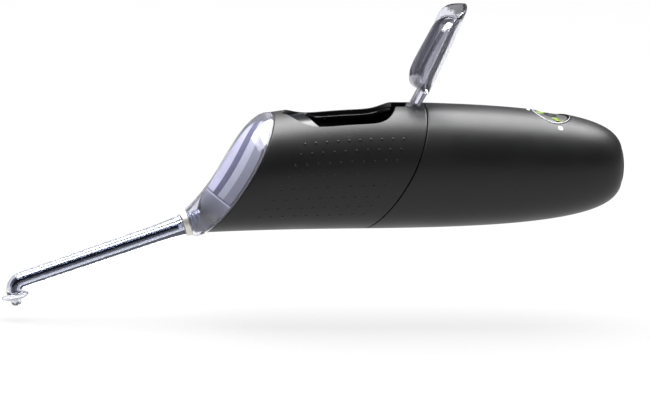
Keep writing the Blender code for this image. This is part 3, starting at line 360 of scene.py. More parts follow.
NODE_FINISHES = {
    "seal_rubber": moulded("seal_rubber", (0.035, 0.035, 0.038), 0.70),
    "frame_white": moulded("frame_white", (0.70, 0.71, 0.71), 0.50, grain=0.0004),
    "steel": moulded("bright_steel", (0.60, 0.61, 0.63), 0.26, grain=0.00015, metallic=1.0, shade=0.06),
    "gear_plastic": moulded("gear_acetal", (0.76, 0.74, 0.66), 0.45),
    "brass": moulded("pinion_brass", (0.74, 0.56, 0.24), 0.28, grain=0.00015, metallic=1.0),
    "battery_wrap": moulded("battery_shrink_wrap", (0.04, 0.18, 0.40), 0.32, grain=0.0006),
    "coil_copper": wound_copper("coil_copper"),
    "ferrite": moulded("ferrite", (0.08, 0.08, 0.09), 0.62, grain=0.0003),
    "board_green": circuit_lacquer("board_lacquer"),
    "grey_plastic": NOSE_GREY,
    "handle_black": HANDLE_BLACK,
    "tank_black": TANK_BLACK,
    "smoke_clear": SMOKE,
    "nozzle_clear": CLEAR,
    "ring_metal": RING_SILVER,
    "button_grey": BUTTON_GREY,
    "lit_green": LIT_GREEN,
}


def finish_frame_nodes():
    for row in frame["record"]["subparts"]:
        for slot in NODES[row["node"]].material_slots:
            slot.material = NODE_FINISHES[row["material_slot"]]
    for slot in NODES["lid_gasket"].material_slots:
        slot.material = SILICONE


# ---------------------------------------------------------------- handle outline
def half_depth(distance):
    left = max(1.0 - distance / TAPER_LENGTH, 0.0)
    return HALF_DEPTH * (1.0 - left**TAPER_POWER) ** END_POWER


def section(x, inset):
    """Half width, top and bottom of the handle at x, moved inwards by inset."""
    distance = max(BODY_END_X - x, 0.0002)
    half = half_depth(distance)
    top = half - BACK_DROP * max(distance - BACK_DROP_START, 0.0) ** 2
    bottom = -half - BELLY_DROP * max(distance - BELLY_DROP_START, 0.0) ** 2
    width = WIDTH_RATIO * half - FRONT_WIDTH_LOSS * max(distance - FRONT_WIDTH_START, 0.0) ** 2
    return width - inset, top - inset, bottom + inset


def section_point(x, angle, inset):
    width, top, bottom = section(x, inset)
    across = math.copysign(abs(math.cos(angle)) ** SECTION_POWER, math.cos(angle))
    upwards = math.copysign(abs(math.sin(angle)) ** SECTION_POWER, math.sin(angle))
    return width * across, (top + bottom) / 2 + (top - bottom) / 2 * upwards


def skin_height(x, y, inset, side=1):
    """Height of the handle's skin over (x, y), on its lid side or its belly side."""
    width, top, bottom = section(x, inset)
    share = min(abs(y) / width, 1.0)
    rise = (1 - share ** (2 / SECTION_POWER)) ** (SECTION_POWER / 2)
    return (top + bottom) / 2 + side * (top - bottom) / 2 * rise


def cut_x(cut, z):
    x, slope, bend = cut
    share = z / CUT_SCALE
    return x + slope * share + bend * share * share


def flat(x):
    return lambda z: x


def seam_at(offset=0.0):
    return lambda z: cut_x(SEAM_CUT, z) + offset


def front_at(offset=0.0):
    return lambda z: cut_x(FRONT_CUT, z) + offset


def between(first, second, share):
    return lambda z: first(z) + (second(z) - first(z)) * share


def ring_points(x_at, inset, count=AROUND):
    """One loop round the handle, on the surface x = x_at(z)."""
    loop = []
    for step in range(count):
        angle = math.tau * (step + 0.5) / count
        x = x_at(0.0)
        for _ in range(12):
            y, z = section_point(x, angle, inset)
            x = x_at(z)
        loop.append(Vector((x, y, z)))
    return loop


def circle_points(x, radius, count=AROUND):
    turns = [math.tau * (step + 0.5) / count for step in range(count)]
    return [Vector((x, radius * math.cos(a), radius * math.sin(a))) for a in turns]


# ---------------------------------------------------------------- making meshes
def move_to(verts, points):
    for vert, point in zip(verts, points):
        vert.co = point


def next_ring(bm, ring):
    """Extrudes the loop of edges that joins the ring, and gives the new ring in the same order."""
    wanted = set(ring)
    edges = [e for e in {e for v in ring for e in v.link_edges} if set(e.verts) <= wanted]
    made = bmesh.ops.extrude_edge_only(bm, edges=edges)["geom"]
    fresh = {g for g in made if isinstance(g, bmesh.types.BMVert)}
    return [next(e.other_vert(v) for e in v.link_edges if e.other_vert(v) in fresh) for v in ring]


def lofted(loops, closed=False):
    """A skin through equal loops: closed joins the last loop to the first, and else both ends are capped."""
    bm = bmesh.new()
    first = bmesh.ops.create_circle(bm, segments=len(loops[0]), radius=1.0)["verts"]
    move_to(first, loops[0])
    ring = first
    for loop in loops[1:]:
        ring = next_ring(bm, ring)
        move_to(ring, loop)
    if closed:
        last = next_ring(bm, ring)
        move_to(last, loops[0])
        bmesh.ops.remove_doubles(bm, verts=first + last, dist=1e-7)
    else:
        for end, loop in ((first, loops[0]), (ring, loops[-1])):
            tip = next_ring(bm, end)
            middle = sum(loop, Vector()) / len(loop)
            bmesh.ops.pointmerge(bm, verts=tip, merge_co=middle)
    bmesh.ops.recalc_face_normals(bm, faces=bm.faces[:])
    return bm


def revolved(profile, place, steps=64):
    """A profile of (radius, height) pairs turned round the local Z axis of a placed frame."""
    bm = bmesh.new()
    points = [bm.verts.new((r, 0, h)) for r, h in profile]
    for first, second in zip(points, points[1:]):
        bm.edges.new((first, second))
    if profile[0][0] > 0 or profile[-1][0] > 0:
        bm.edges.new((points[-1], points[0]))
    bmesh.ops.spin(bm, geom=bm.verts[:] + bm.edges[:], cent=(0, 0, 0), axis=(0, 0, 1),
                   angle=math.tau, steps=steps, use_merge=True)
    bmesh.ops.remove_doubles(bm, verts=bm.verts, dist=1e-7)
    bmesh.ops.recalc_face_normals(bm, faces=bm.faces[:])
    bmesh.ops.transform(bm, matrix=place, verts=bm.verts)
    return bm


def rounded(profile, corners, radius, steps=4):
    """Rounds the listed corners of a profile with small arcs."""
    out = []
    for i, point in enumerate(profile):
        if i not in corners:
            out.append(point)
            continue
        here = Vector(point)
        before, after = Vector(profile[i - 1]) - here, Vector(profile[(i + 1) % len(profile)]) - here
        reach = min(radius, before.length * 0.49, after.length * 0.49)
        start, end = here + before.normalized() * reach, here + after.normalized() * reach
        for step in range(steps + 1):
            share = step / steps
            bent = start.lerp(here, share).lerp(here.lerp(end, share), share)
            out.append((bent.x, bent.y))
    return out


def block(low, high, bevel=0.0):
    bm = bmesh.new()
    low, high = Vector(low), Vector(high)
    bmesh.ops.create_cube(bm, size=1.0)
    bmesh.ops.scale(bm, vec=high - low, verts=bm.verts)
    bmesh.ops.translate(bm, vec=(low + high) / 2, verts=bm.verts)
    if bevel:
        bmesh.ops.bevel(bm, geom=bm.edges[:], offset=bevel, offset_type="OFFSET", segments=3,
                        profile=0.5, affect="EDGES", material=-1)
    return bm


def rod(radius, length, segments, place):
    """A round bar whose middle and whose axis, its local Z, are given by place."""
    bm = bmesh.new()
    bmesh.ops.create_cone(bm, cap_ends=True, segments=segments, radius1=radius, radius2=radius,
                          depth=length)
    bmesh.ops.transform(bm, matrix=place, verts=bm.verts)
    return bm


def hinge_rod(radius, length, segments=32):
    return rod(radius, length, segments, Matrix.Translation(HINGE) @ Matrix.Rotation(math.pi / 2, 4, "X"))


def placed(x, z, axis_angle):
    """A frame at (x, 0, z), with its local +Z at axis_angle from +X towards +Z."""
    return Matrix.Translation((x, 0, z)) @ Matrix.Rotation(math.pi / 2 - axis_angle, 4, "Y")


def as_object(name, bm):
    mesh = bpy.data.meshes.new(name)
    bm.to_mesh(mesh)
    bm.free()
    obj = bpy.data.objects.new(name, mesh)
    bpy.context.scene.collection.objects.link(obj)
    return obj


def as_objects(name, *meshes):
    return [as_object(name, bm) for bm in meshes]


def combined(obj, operation, *others):
    """Cuts or joins the object with helpers, which are then thrown away."""
    for other in others:
        modifier = obj.modifiers.new(operation.lower(), "BOOLEAN")
        modifier.operation = operation
        modifier.solver = "EXACT"
        modifier.object = other
    graph = bpy.context.evaluated_depsgraph_get()
    mesh = bpy.data.meshes.new_from_object(obj.evaluated_get(graph))
    obj.modifiers.clear()
    obj.data = mesh
    for other in others:
        bpy.data.objects.remove(other, do_unlink=True)
    return obj


def finished(obj, body, finish, replaced=(), sharp=32.0):
    """Gives a piece its finish, its body and the frame nodes that it stands for."""
    mesh = obj.data
    for face in mesh.polygons:
        face.use_smooth = True
    mesh.set_sharp_from_angle(angle=math.radians(sharp))
    if finish:
        mesh.materials.clear()
        mesh.materials.append(finish)
    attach(obj, body)
    if replaced:
        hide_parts(*replaced)
    return obj


def leaf_outline(middle, rear, front, half_width, powers, root=0.7, steps=36):
    """A leaf-shaped outline, round behind and drawn in towards the nozzle."""
    rear_power, front_power = powers
    upper = []
    for step in range(-steps, steps + 1):
        share = math.sin(math.pi / 2 * step / steps)
        if share >= 0:
            width, x = (1 - share**rear_power) ** root, middle + rear * share
        else:
            width, x = 1 - (-share) ** front_power, middle + front * share
        upper.append((x, half_width * width))
    return upper + [(x, -y) for x, y in reversed(upper[1:-1])]


def rounded_outline(half_length, half_width, power, steps=18, middle=0.0):
    """A rounded oblong as a superellipse."""
    outline = []
    for step in range(4 * steps):
        angle = math.tau * (step + 0.5) / (4 * steps)
        c, s = math.cos(angle), math.sin(angle)
        outline.append((middle + half_length * math.copysign(abs(c) ** (2 / power), c),
                        half_width * math.copysign(abs(s) ** (2 / power), s)))
    return outline


def grown(outline, offset):
    """The outline moved outwards by offset."""
    out = []
    area = sum(a[0] * b[1] - b[0] * a[1] for a, b in zip(outline, outline[1:] + outline[:1]))
    sign = 1 if area > 0 else -1
    for i, (x, y) in enumerate(outline):
        before, after = outline[i - 1], outline[(i + 1) % len(outline)]
        way = Vector((after[0] - before[0], after[1] - before[1])).normalized()
        out.append((x + way.y * offset * sign, y - way.x * offset * sign))
    return out


def flared_cutter(outline, height, depth, rounding, inverse=False):
    """A cutter whose mouth flares as it meets the skin, so that the cut edge comes out rounded."""
    lift = -1 if inverse else 1
    rings = [(0.0, -depth), (0.0, -rounding)]
    for degrees in (20, 40, 60):
        angle = math.radians(degrees)
        rings.append((rounding * (1 - math.cos(angle)), rounding * (math.sin(angle) - 0.87)))
    rings.append((rounding * 1.2, rounding * 0.6))
    rings.append((rounding * 1.3, 0.004))
    loops = []
    for offset, rise in rings:
        loops.append([Vector((x, y, height(x, y) + lift * rise)) for x, y in grown(outline, offset)])
    return lofted(loops)


# ---------------------------------------------------------------- handle shells
def spaced(count):
    """Shares from 0 to 1 that crowd towards 0."""
    return [(step / count) ** 1.9 for step in range(count + 1)]


def rolled_edge(at, way):
    """Loops that round a shell's outer edge down to the gap."""
    steps = ((SEAM_ROUND, 0.0), (SEAM_ROUND * 0.5, SEAM_ROUND * 0.13), (SEAM_ROUND * 0.13, SEAM_ROUND * 0.5),
             (0.0, SEAM_ROUND))
    return [ring_points(lambda z, away=away: at(z) + way * away, inset) for away, inset in steps]


def build_rear_shell():
    rear, seam = flat(SHELL_END_X), seam_at(HALF_GAP)
    near_seam = seam_at(HALF_GAP + SEAM_ROUND * 2)
    loops = [ring_points(between(rear, near_seam, s), 0.0) for s in spaced(44)]
    loops += rolled_edge(seam, 1)
    loops += [ring_points(between(flat(SHELL_END_X - END_WALL), seam, s), WALL)
              for s in reversed(spaced(20))]
    loops.append(circle_points(SHELL_END_X - END_WALL, CAP_HOLE_RADIUS))
    loops.append(circle_points(SHELL_END_X - 0.0003, CAP_HOLE_RADIUS))
    loops.append(circle_points(SHELL_END_X, CAP_HOLE_RADIUS + 0.0002))
    shell = as_object("rear_shell", lofted(loops, closed=True))
    well = button_frame()
    local = skin_in(shell, well)
    cutter = flared_cutter(oval(WELL_RADIUS + GAP), local, 0.004, 0.0004)
    bmesh.ops.transform(cutter, matrix=well, verts=cutter.verts)
    combined(shell, "DIFFERENCE", as_object("cut_well", cutter))
    finished(shell, "handle", HANDLE_BLACK, ["rear_handle_shell"])
    return local


def skin_in(obj, place):
    """Height of an object's outer skin over (x, y) of a placed frame."""
    bm = bmesh.new()
    bm.from_mesh(obj.data)
    bmesh.ops.transform(bm, matrix=place.inverted(), verts=bm.verts)
    tree = BVHTree.FromBMesh(bm)
    bm.free()

    def height(x, y):
        hit = tree.ray_cast(Vector((x, y, 0.02)), Vector((0, 0, -1)))[0]
        return hit.z if hit else 0.0

    return height


def build_base_cap():
    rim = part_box("base_cap")[1].x
    profile = [(0, 0), (0.0046, 0), (0.0052, rim), (0.0070, rim), (0.0070, rim - 0.0041),
               (0.0090, rim - 0.0041), (0.0090, rim - 0.0053), (0.0070, rim - 0.0053),
               (0.0070, rim - 0.0090), (0, rim - 0.0090)]
    profile = rounded(profile, (1, 2, 3), 0.0005)
    cap = as_object("base_end_cap", revolved(profile, Matrix.Rotation(math.pi / 2, 4, "Y"), 96))
    finished(cap, "handle", HANDLE_BLACK, ["base_cap"])


def build_front_shell():
    seam, front = seam_at(-HALF_GAP), front_at()
    near_seam, near_front = seam_at(-HALF_GAP - 2 * SEAM_ROUND), front_at(2 * SEAM_ROUND)
    loops = rolled_edge(seam, -1)[::-1]
    loops += [ring_points(between(near_seam, near_front, step / 40), 0.0) for step in range(41)]
    loops += rolled_edge(front, 1)
    loops += [ring_points(between(front, seam, step / 16), WALL) for step in range(17)]
    shell = as_object("front_shell", lofted(loops, closed=True))
    lugs = [block((-0.0758, y, 0.0186), (-0.0711, y + LUG_WIDTH, 0.0213), 0.0004) for y in LUG_STARTS]
    combined(shell, "UNION", *as_objects("lug", *lugs))
    top = lambda x, y: skin_height(x, y, 0.0)
    belly = lambda x, y: skin_height(x, y, 0.0, -1)
    recess = flared_cutter(leaf_outline(**RECESS), top, 0.006, 0.0007)
    slot_middle = (SLOT_END_X + SLOT_FRONT_X) / 2
    slot = rounded_outline((SLOT_END_X - SLOT_FRONT_X) / 2, SLOT_HALF_WIDTH, 9, 12, slot_middle)
    slot_cut = flared_cutter(slot, top, 0.006, 0.0004)
    pad = rounded_outline(TRIGGER_HALF_LENGTH + GAP, TRIGGER_HALF_WIDTH + GAP, 5, 18, TRIGGER_X)
    pad_cut = flared_cutter(pad, belly, 0.006, 0.0004, inverse=True)
    scoop = bmesh.new()
    bmesh.ops.create_uvsphere(scoop, u_segments=64, v_segments=32, radius=1.0)
    bmesh.ops.scale(scoop, vec=SCOOP_RADII, verts=scoop.verts)
    bmesh.ops.translate(scoop, vec=SCOOP_CENTRE, verts=scoop.verts)
    pin = hinge_rod(PIN_BORE, 0.0150)
    combined(shell, "DIFFERENCE", *as_objects("cut_shell", recess, slot_cut, pad_cut, scoop, pin))
    finished(shell, "handle", HANDLE_BLACK, ["front_housing"])


SCOOP_CENTRE = (-0.1195, 0, 0.0262)
SCOOP_RADII = (0.0068, 0.0090, 0.0072)
PIN_BORE = 0.00105
LUG_WIDTH = 0.0027
LUG_STARTS = (0.0045, -0.0072)

# Grip dots: rows along the flanks, each dot a low dome
DOT_ROWS = 8
DOTS_PER_ROW = 10
DOT_TOP_ANGLE = math.radians(34.4)
DOT_ROW_STEP = math.radians(10.4)
DOT_FRONT_MARGIN = 0.0125
DOT_SEAM_MARGIN = 0.0082
DOT_RADIUS = 0.00052
DOT_HEIGHT = 0.00020


def build_grip_dots():
    bm = bmesh.new()
    for row in range(DOT_ROWS):
        for side in (1, -1):
            level = DOT_TOP_ANGLE - row * DOT_ROW_STEP
            angle = level if side > 0 else math.pi - level
            _, z = section_point(-0.100, angle, 0.0)
            start, end = cut_x(FRONT_CUT, z) + DOT_FRONT_MARGIN, cut_x(SEAM_CUT, z) - DOT_SEAM_MARGIN
            for step in range(DOTS_PER_ROW):
                add_dot(bm, start + (end - start) * step / (DOTS_PER_ROW - 1), angle)
    finished(as_object("grip_dots", bm), "handle", HANDLE_BLACK)


def add_dot(bm, x, angle):
    """A low dome whose foot is sunk into the skin."""
    here = Vector((x, *section_point(x, angle, 0.0)))
    ahead = Vector((x + 0.001, *section_point(x + 0.001, angle, 0.0))) - here
    round_ = Vector((x, *section_point(x, angle + 0.02, 0.0))) - here
    normal = ahead.cross(round_).normalized()
    if normal.dot(Vector((0, here.y, here.z))) < 0:
        normal = -normal
    turn = normal.to_track_quat("Z", "Y").to_matrix().to_4x4()
    scale = Matrix.Diagonal((DOT_RADIUS, DOT_RADIUS, DOT_HEIGHT, 1.0))
    bmesh.ops.create_uvsphere(bm, u_segments=10, v_segments=6, radius=1.0,
                              matrix=Matrix.Translation(here) @ turn @ scale)


# ---------------------------------------------------------------- reservoir
def body_solid(rear_at, front, inset, steps, count=96):
    return lofted([ring_points(between(rear_at, front, s / steps), inset, count) for s in range(steps + 1)])


def build_reservoir():
    """The black tank under the opening: deep in front, shallow behind its step."""
    outer = as_object("reservoir", body_solid(flat(-0.0770), front_at(0.0050), WALL + GAP, 20))
    inner = as_object("cut_inner", body_solid(flat(-0.0782), front_at(0.0062), WALL + GAP + TANK_WALL, 20))
    under = (block((TANK_STEP_X, -0.03, -0.04), (-0.05, 0.03, SHALLOW_FLOOR_Z)),
             block((-0.16, -0.03, -0.04), (-0.05, 0.03, DEEP_FLOOR_Z)))
    combined(outer, "DIFFERENCE", *as_objects("cut_under", *under))
    keep = (block((TANK_STEP_X - TANK_WALL, -0.04, -0.05), (-0.04, 0.04, SHALLOW_FLOOR_Z + TANK_WALL)),
            block((-0.17, -0.04, -0.05), (-0.04, 0.04, DEEP_FLOOR_Z + TANK_WALL)))
    combined(inner, "DIFFERENCE", *as_objects("cut_keep", *keep))
    ledge = lambda x, y: skin_height(x, y, WALL + GAP)
    mouth = as_object("cut_mouth", flared_cutter(leaf_outline(**MOUTH), ledge, 0.004, 0.0005))
    combined(outer, "DIFFERENCE", inner, mouth)
    wide = SLOT_HALF_WIDTH + TANK_WALL
    shelf = block((-0.0775, -0.0080, 0.0168), (-0.0700, 0.0080, 0.0180), 0.0003)
    trough = block((-0.0800, -wide, SLOT_FLOOR_Z - TANK_WALL), (-0.0772, wide, SLOT_FLOOR_Z + TANK_WALL))
    combined(outer, "UNION", *as_objects("arm_seat", shelf, trough))
    slot = block((SLOT_FRONT_X, -SLOT_HALF_WIDTH, SLOT_FLOOR_Z), (SLOT_END_X, SLOT_HALF_WIDTH, 0.030))
    combined(outer, "DIFFERENCE", as_object("cut_slot", slot))
    finished(outer, "handle", TANK_BLACK, ["reservoir_tank"])


TANK_STEP_X = -0.0935
SHALLOW_FLOOR_Z = 0.0085
DEEP_FLOOR_Z = -0.0055


# ---------------------------------------------------------------- lid
def skin_plate(outline, top_inset, thickness, edge, side=1, rings=9):
    """A plate that follows the handle's skin, with rounded edges, as loops drawn in to its middle."""
    middle = (sum(x for x, _ in outline) / len(outline), 0.0)

    def loop(share, inset, shrink=0.0):
        drawn = [(middle[0] + (x - middle[0]) * share, y * share) for x, y in grown(outline, -shrink)]
        return [Vector((x, y, skin_height(x, y, inset, side))) for x, y in drawn]

    shares = [(step + 0.3) / (rings + 0.3) for step in range(rings + 1)]
    loops = [loop(s, top_inset, edge) for s in shares]
    for degrees in (30, 60, 90):
        angle = math.radians(degrees)
        loops.append(loop(1, top_inset + edge * (1 - math.cos(angle)), edge * (1 - math.sin(angle))))
    bottom = top_inset + thickness
    for degrees in (0, 30, 60):
        angle = math.radians(degrees)
        loops.append(loop(1, bottom - edge * (1 - math.sin(angle)), edge * (1 - math.cos(angle))))
    loops += [loop(s, bottom, edge) for s in reversed(shares)]
    return lofted(loops)


def build_lid_plate():
    """The lid's leaf with its arm, three ribs along the arm, and the hinge knuckle."""
    plate = as_object("lid_plate", skin_plate(leaf_outline(**LID), 0.0, LID_THICKNESS, 0.0005))
    parts = [block((-0.0835, -ARM_HALF_WIDTH, HINGE.z - 0.0012),
                   (HINGE.x + 0.0002, ARM_HALF_WIDTH, HINGE.z + 0.0011), 0.0003)]
    for y in (-RIB_STEP, 0.0, RIB_STEP):
        parts.append(block((-0.0830, y - RIB_HALF_WIDTH, HINGE.z + 0.0003),
                           (HINGE.x - 0.0004, y + RIB_HALF_WIDTH, HINGE.z + 0.0017), 0.0004))
    parts.append(hinge_rod(0.0019, 0.0074, 48))
    combined(plate, "UNION", *as_objects("lid_part", *parts))
    combined(plate, "DIFFERENCE", as_object("cut_bore", hinge_rod(PIN_BORE, 0.0120)))
    finished(plate, "lid", LID_SMOKE, ["reservoir_lid"])
    plate.data.materials.append(LID_CLEAR)
    for face in plate.data.polygons:
        face.material_index = int(face.center.x > SMOKY_TIP_X)
    swing_open(plate)


ARM_HALF_WIDTH = 0.0036
RIB_STEP = 0.0029
RIB_HALF_WIDTH = 0.0006
# Only the lid's front tip is smoky
SMOKY_TIP_X = -0.1125


def swing_open(obj):
    swing = Matrix.Translation(HINGE) @ Matrix.Rotation(LID_OPEN, 4, "Y") @ Matrix.Translation(-HINGE)
    obj.data.transform(swing)


TUB_CENTRE_X = -0.0955
TUB_BOTTOM_Z = 0.0147
TUB_WALL = 0.0009
TUB_ROUND = 0.0036


def build_lid_dome():
    """The smoky cup under the lid, with a soft shoulder all round."""
    outline = leaf_outline(**TUB)
    reach = max(abs(x - TUB_CENTRE_X) for x, _ in outline)

    def drawn_in(amount, height):
        along, across = 1 - amount / reach, 1 - amount / TUB["half_width"]
        return [Vector((TUB_CENTRE_X + (x - TUB_CENTRE_X) * along, y * across, height(x, y)))
                for x, y in outline]

    def cup_loops(inset, floor):
        rim = drawn_in(inset, lambda x, y: skin_height(x, y, LID_THICKNESS + GAP))
        loops = [rim]
        for share in (0.25, 0.5, 0.75):
            loops.append([Vector((p.x, p.y, p.z + (floor + TUB_ROUND - p.z) * share)) for p in rim])
        for degrees in range(0, 91, 10):
            angle = math.radians(degrees)
            amount = inset + TUB_ROUND * (1 - math.cos(angle))
            loops.append(drawn_in(amount, lambda x, y: floor + TUB_ROUND * (1 - math.sin(angle))))
        for amount in (0.0055, 0.0075, 0.0092):
            loops.append(drawn_in(amount, lambda x, y: floor))
        return loops

    outside = cup_loops(0.0, TUB_BOTTOM_Z)
    inside = cup_loops(TUB_WALL, TUB_BOTTOM_Z + TUB_WALL)
    dome = as_object("lid_dome", lofted(outside[::-1] + inside))
    swing_open(dome)
    finished(dome, "lid", SMOKE, ["lid_tub"], sharp=50.0)


# ---------------------------------------------------------------- nozzle
def bezier(knots, share):
    first, second, third, fourth = knots
    rest = 1 - share
    return (first * rest**3 + second * (3 * share * rest**2)
            + third * (3 * share**2 * rest) + fourth * share**3)


SHROUD_TOP = [Vector((-0.1262, 0, 0.0207)), Vector((-0.1406, 0, 0.0212)),
              Vector((-0.1385, 0, 0.0016)), Vector((-0.1578, 0, -0.0171))]
SHROUD_BOTTOM = [Vector((-0.1500, 0, -0.0262)), Vector((-0.1515, 0, -0.0268)),
                 Vector((-0.1530, 0, -0.0272)), Vector((-0.1546, 0, -0.0269))]
SHROUD_HALF_WIDTH = 0.0200
SHROUD_WALL = 0.0013
SHROUD_CREST_WALL = 0.0026
SHROUD_STEPS = 32
SHROUD_AROUND = 96
DIVIDER_POINT = Vector((-0.1497, 0, -0.0083))
DIVIDER_NORMAL = Vector((-0.50, 0, -0.866))


def shroud_loops(inset_at):
    """Loops that sweep from the handle's front cut round to the circle behind the ring."""
    loops = []
    for step in range(SHROUD_STEPS + 1):
        share = step / SHROUD_STEPS
        top, bottom = bezier(SHROUD_TOP, share), bezier(SHROUD_BOTTOM, share)
        middle, reach = (top + bottom) / 2, (top - bottom) / 2
        half_width = SHROUD_HALF_WIDTH + (RING_RADIUS - SHROUD_HALF_WIDTH) * share**0.8
        fade = (1 - share) ** 3
        loop = []
        for turn in range(SHROUD_AROUND):
            angle = math.tau * (turn + 0.5) / SHROUD_AROUND
            inset = inset_at(share, angle)
            tight = 1 - inset / reach.length
            side = Vector((0, (half_width - inset) * math.cos(angle), 0))
            point = middle + reach * tight * math.sin(angle) + side
            x = FRONT_CUT[0]
            for _ in range(8):
                y, z = section_point(x, angle, inset)
                x = cut_x(FRONT_CUT, z) - GAP
            loop.append(point.lerp(Vector((x, y, z)), fade))
        loops.append(loop)
    return loops


def crest_wall(share, angle):
    """Wall thickness: thick along the crest, thinner on the flanks and towards the ring."""
    crest = max(math.sin(angle), 0.0) ** 2
    thick = SHROUD_WALL + (SHROUD_CREST_WALL - SHROUD_WALL) * crest
    return thick + (SHROUD_WALL - thick) * share**2


def build_shroud():
    outer = shroud_loops(lambda share, angle: 0.0)
    inner = shroud_loops(crest_wall)
    bm = lofted(outer + inner[::-1], closed=True)
    shroud = as_object("nozzle_shroud_shell", bm)
    finished(shroud, "nozzle", CLEAR, ["nozzle_shroud"], sharp=50.0)
    build_shroud_liner()


def build_shroud_liner():
    """The grey moulded body just inside the clear shroud; its face carries painted shade and painted
    highlight bands.
    """
    clearance = 0.0001
    outer = shroud_loops(lambda share, angle: crest_wall(share, angle) + clearance)[:-4]
    inner = shroud_loops(lambda share, angle: crest_wall(share, angle) + clearance + 0.0006)[:-4]
    liner = as_object("nozzle_body_liner", lofted(outer + inner[::-1], closed=True))
    mesh = liner.data
    uv = mesh.uv_layers.new(name="across_and_down")
    for loop in mesh.loops:
        p = mesh.vertices[loop.vertex_index].co
        down = DIVIDER_LEVEL + (p - DIVIDER_POINT).dot(DIVIDER_NORMAL) / DIVIDER_SPAN
        uv.data[loop.index].uv = (crest_share(p), down)
    # The liner's face gets the painted shade and highlight bands
    finished(liner, "nozzle", shroud_liner_painted_light("shroud_inside_painted_shading"), [], sharp=50.0)


def crest_share(p):
    """0 along the shroud's crest, 1 at the handle's cut, seen across the handle."""
    here = Vector((p.x, 0, p.z))
    to_crest = min((bezier(SHROUD_TOP, step / 60) - here).length for step in range(61))
    to_crest += CREST_SPREAD * abs(p.y) - SHROUD_CREST_WALL
    to_cut = (cut_x(FRONT_CUT, p.z) - p.x) * CUT_LEAN
    return max(to_crest, 0.0) / max(max(to_crest, 0.0) + max(to_cut, 0.0), 1e-6)


CUT_LEAN = 0.87
CREST_SPREAD = 0.25


def stem_path(bend_steps=14):
    """Centre line of the stem: straight from the ring, then bent round to the jet's direction."""
    start = RING_CENTRE + STEM_WAY * (RING_LENGTH + GAP)
    gap = start - DISC_CENTRE
    cross = STEM_WAY.x * JET.z - STEM_WAY.z * JET.x
    corner = DISC_CENTRE + JET * ((STEM_WAY.x * gap.z - STEM_WAY.z * gap.x) / cross)
    turn = math.acos(STEM_WAY.dot(JET))
    first = corner - STEM_WAY * (BEND_RADIUS * math.tan(turn / 2))
    centre = first - Vector((STEM_WAY.z, 0, -STEM_WAY.x)) * BEND_RADIUS
    points = [start.lerp(first, step / 40) for step in range(40)]
    for step in range(bend_steps + 1):
        points.append(centre + Matrix.Rotation(-turn * step / bend_steps, 4, "Y") @ (first - centre))
    points.append(DISC_CENTRE - JET * (DISC_THICKNESS / 2 + GAP))
    return points


def stem_radius(share):
    return (STEM_TIP_RADIUS + STEM_TAPER * (1 - share)
            + STEM_FLARE * max(0.0, 1 - share / STEM_FLARE_SHARE) ** 2)


def swept(points, radii, bore, sides=48):
    """A round tube along a path in the middle plane, with its own radius at each point."""
    length = [0.0]
    for first, second in zip(points, points[1:]):
        length.append(length[-1] + (second - first).length)
    outside, inside = [], []
    for i, point in enumerate(points):
        ahead = (points[min(i + 1, len(points) - 1)] - points[max(i - 1, 0)]).normalized()
        side = Vector((0, 1, 0))
        up = ahead.cross(side)
        turns = [math.tau * (step + 0.5) / sides for step in range(sides)]
        radius = radii(length[i] / length[-1])
        outside.append([point + (side * math.cos(a) + up * math.sin(a)) * radius for a in turns])
        inside.append([point + (side * math.cos(a) + up * math.sin(a)) * bore for a in turns])
    return lofted(outside + inside[::-1], closed=True)


def build_stem():
    path = stem_path()
    stem = as_object("jet_stem", swept(path, stem_radius, STEM_BORE))
    finished(stem, "nozzle", STEM_CLEAR, ["nozzle_stem"], sharp=50.0)
    tube = as_object("water_tube", swept(path[1:-1], lambda share: 0.0011, 0.0006, 32))
    finished(tube, "nozzle", TUBE_CLEAR, ["nozzle_inner_tube"], sharp=50.0)
    tip = placed(DISC_CENTRE.x, DISC_CENTRE.z, math.atan2(JET.z, JET.x))
    half = DISC_THICKNESS / 2
    disc = [(0.0008, -half), (0.0038, -half), (0.0047, -half * 0.62), (DISC_RADIUS, 0.05 * half),
            (0.0047, half * 0.72), (0.0036, half), (0.0008, half)]
    disc = rounded(disc, (1, 2, 3, 4, 5), 0.0006, 5)
    lens = as_object("guidance_disc", revolved(disc, tip))
    finished(lens, "nozzle", TIP_CLEAR, ["guidance_tip"], sharp=60.0)
    low = half + GAP
    nib = [(0.0006, low), (0.0019, low), (0.0019, low + 0.0017), (0.0013, low + 0.0024),
           (0.0006, low + 0.0024)]
    nib = rounded(nib, (1, 2, 3), 0.0004)
    spout = as_object("jet_spout", revolved(nib, tip))
    finished(spout, "nozzle", SILICONE, ["jet_nib"], sharp=60.0)


def build_ring_and_collar():
    place = placed(RING_CENTRE.x, RING_CENTRE.z, NOZZLE_TILT)
    ring = [(0.0026, 0), (RING_RADIUS, 0), (RING_RADIUS - 0.0004, -RING_LENGTH), (0.0026, -RING_LENGTH)]
    ring = rounded(ring, (1, 2), 0.00035)
    band = as_object("silver_ring", revolved(ring, place, 96))
    finished(band, "nozzle", RING_SILVER, ["nozzle_ring"])
    collar = [(0.0008, 0.0004), (0.0034, 0.0004), (0.0034, 0.0010), (0.0037, 0.0012), (0.0037, 0.0018),
              (0.0034, 0.0020), (0.0034, 0.0026), (0.0037, 0.0028), (0.0037, 0.0052), (0.0030, 0.0058),
              (0.0028, 0.0080), (0.0022, 0.0080), (0.0022, 0.0052), (0.0008, 0.0052)]
    socket = as_object("nozzle_collar", revolved(collar, place, 72))
    finished(socket, "nozzle", COLLAR_SLATE, ["nozzle_socket"])


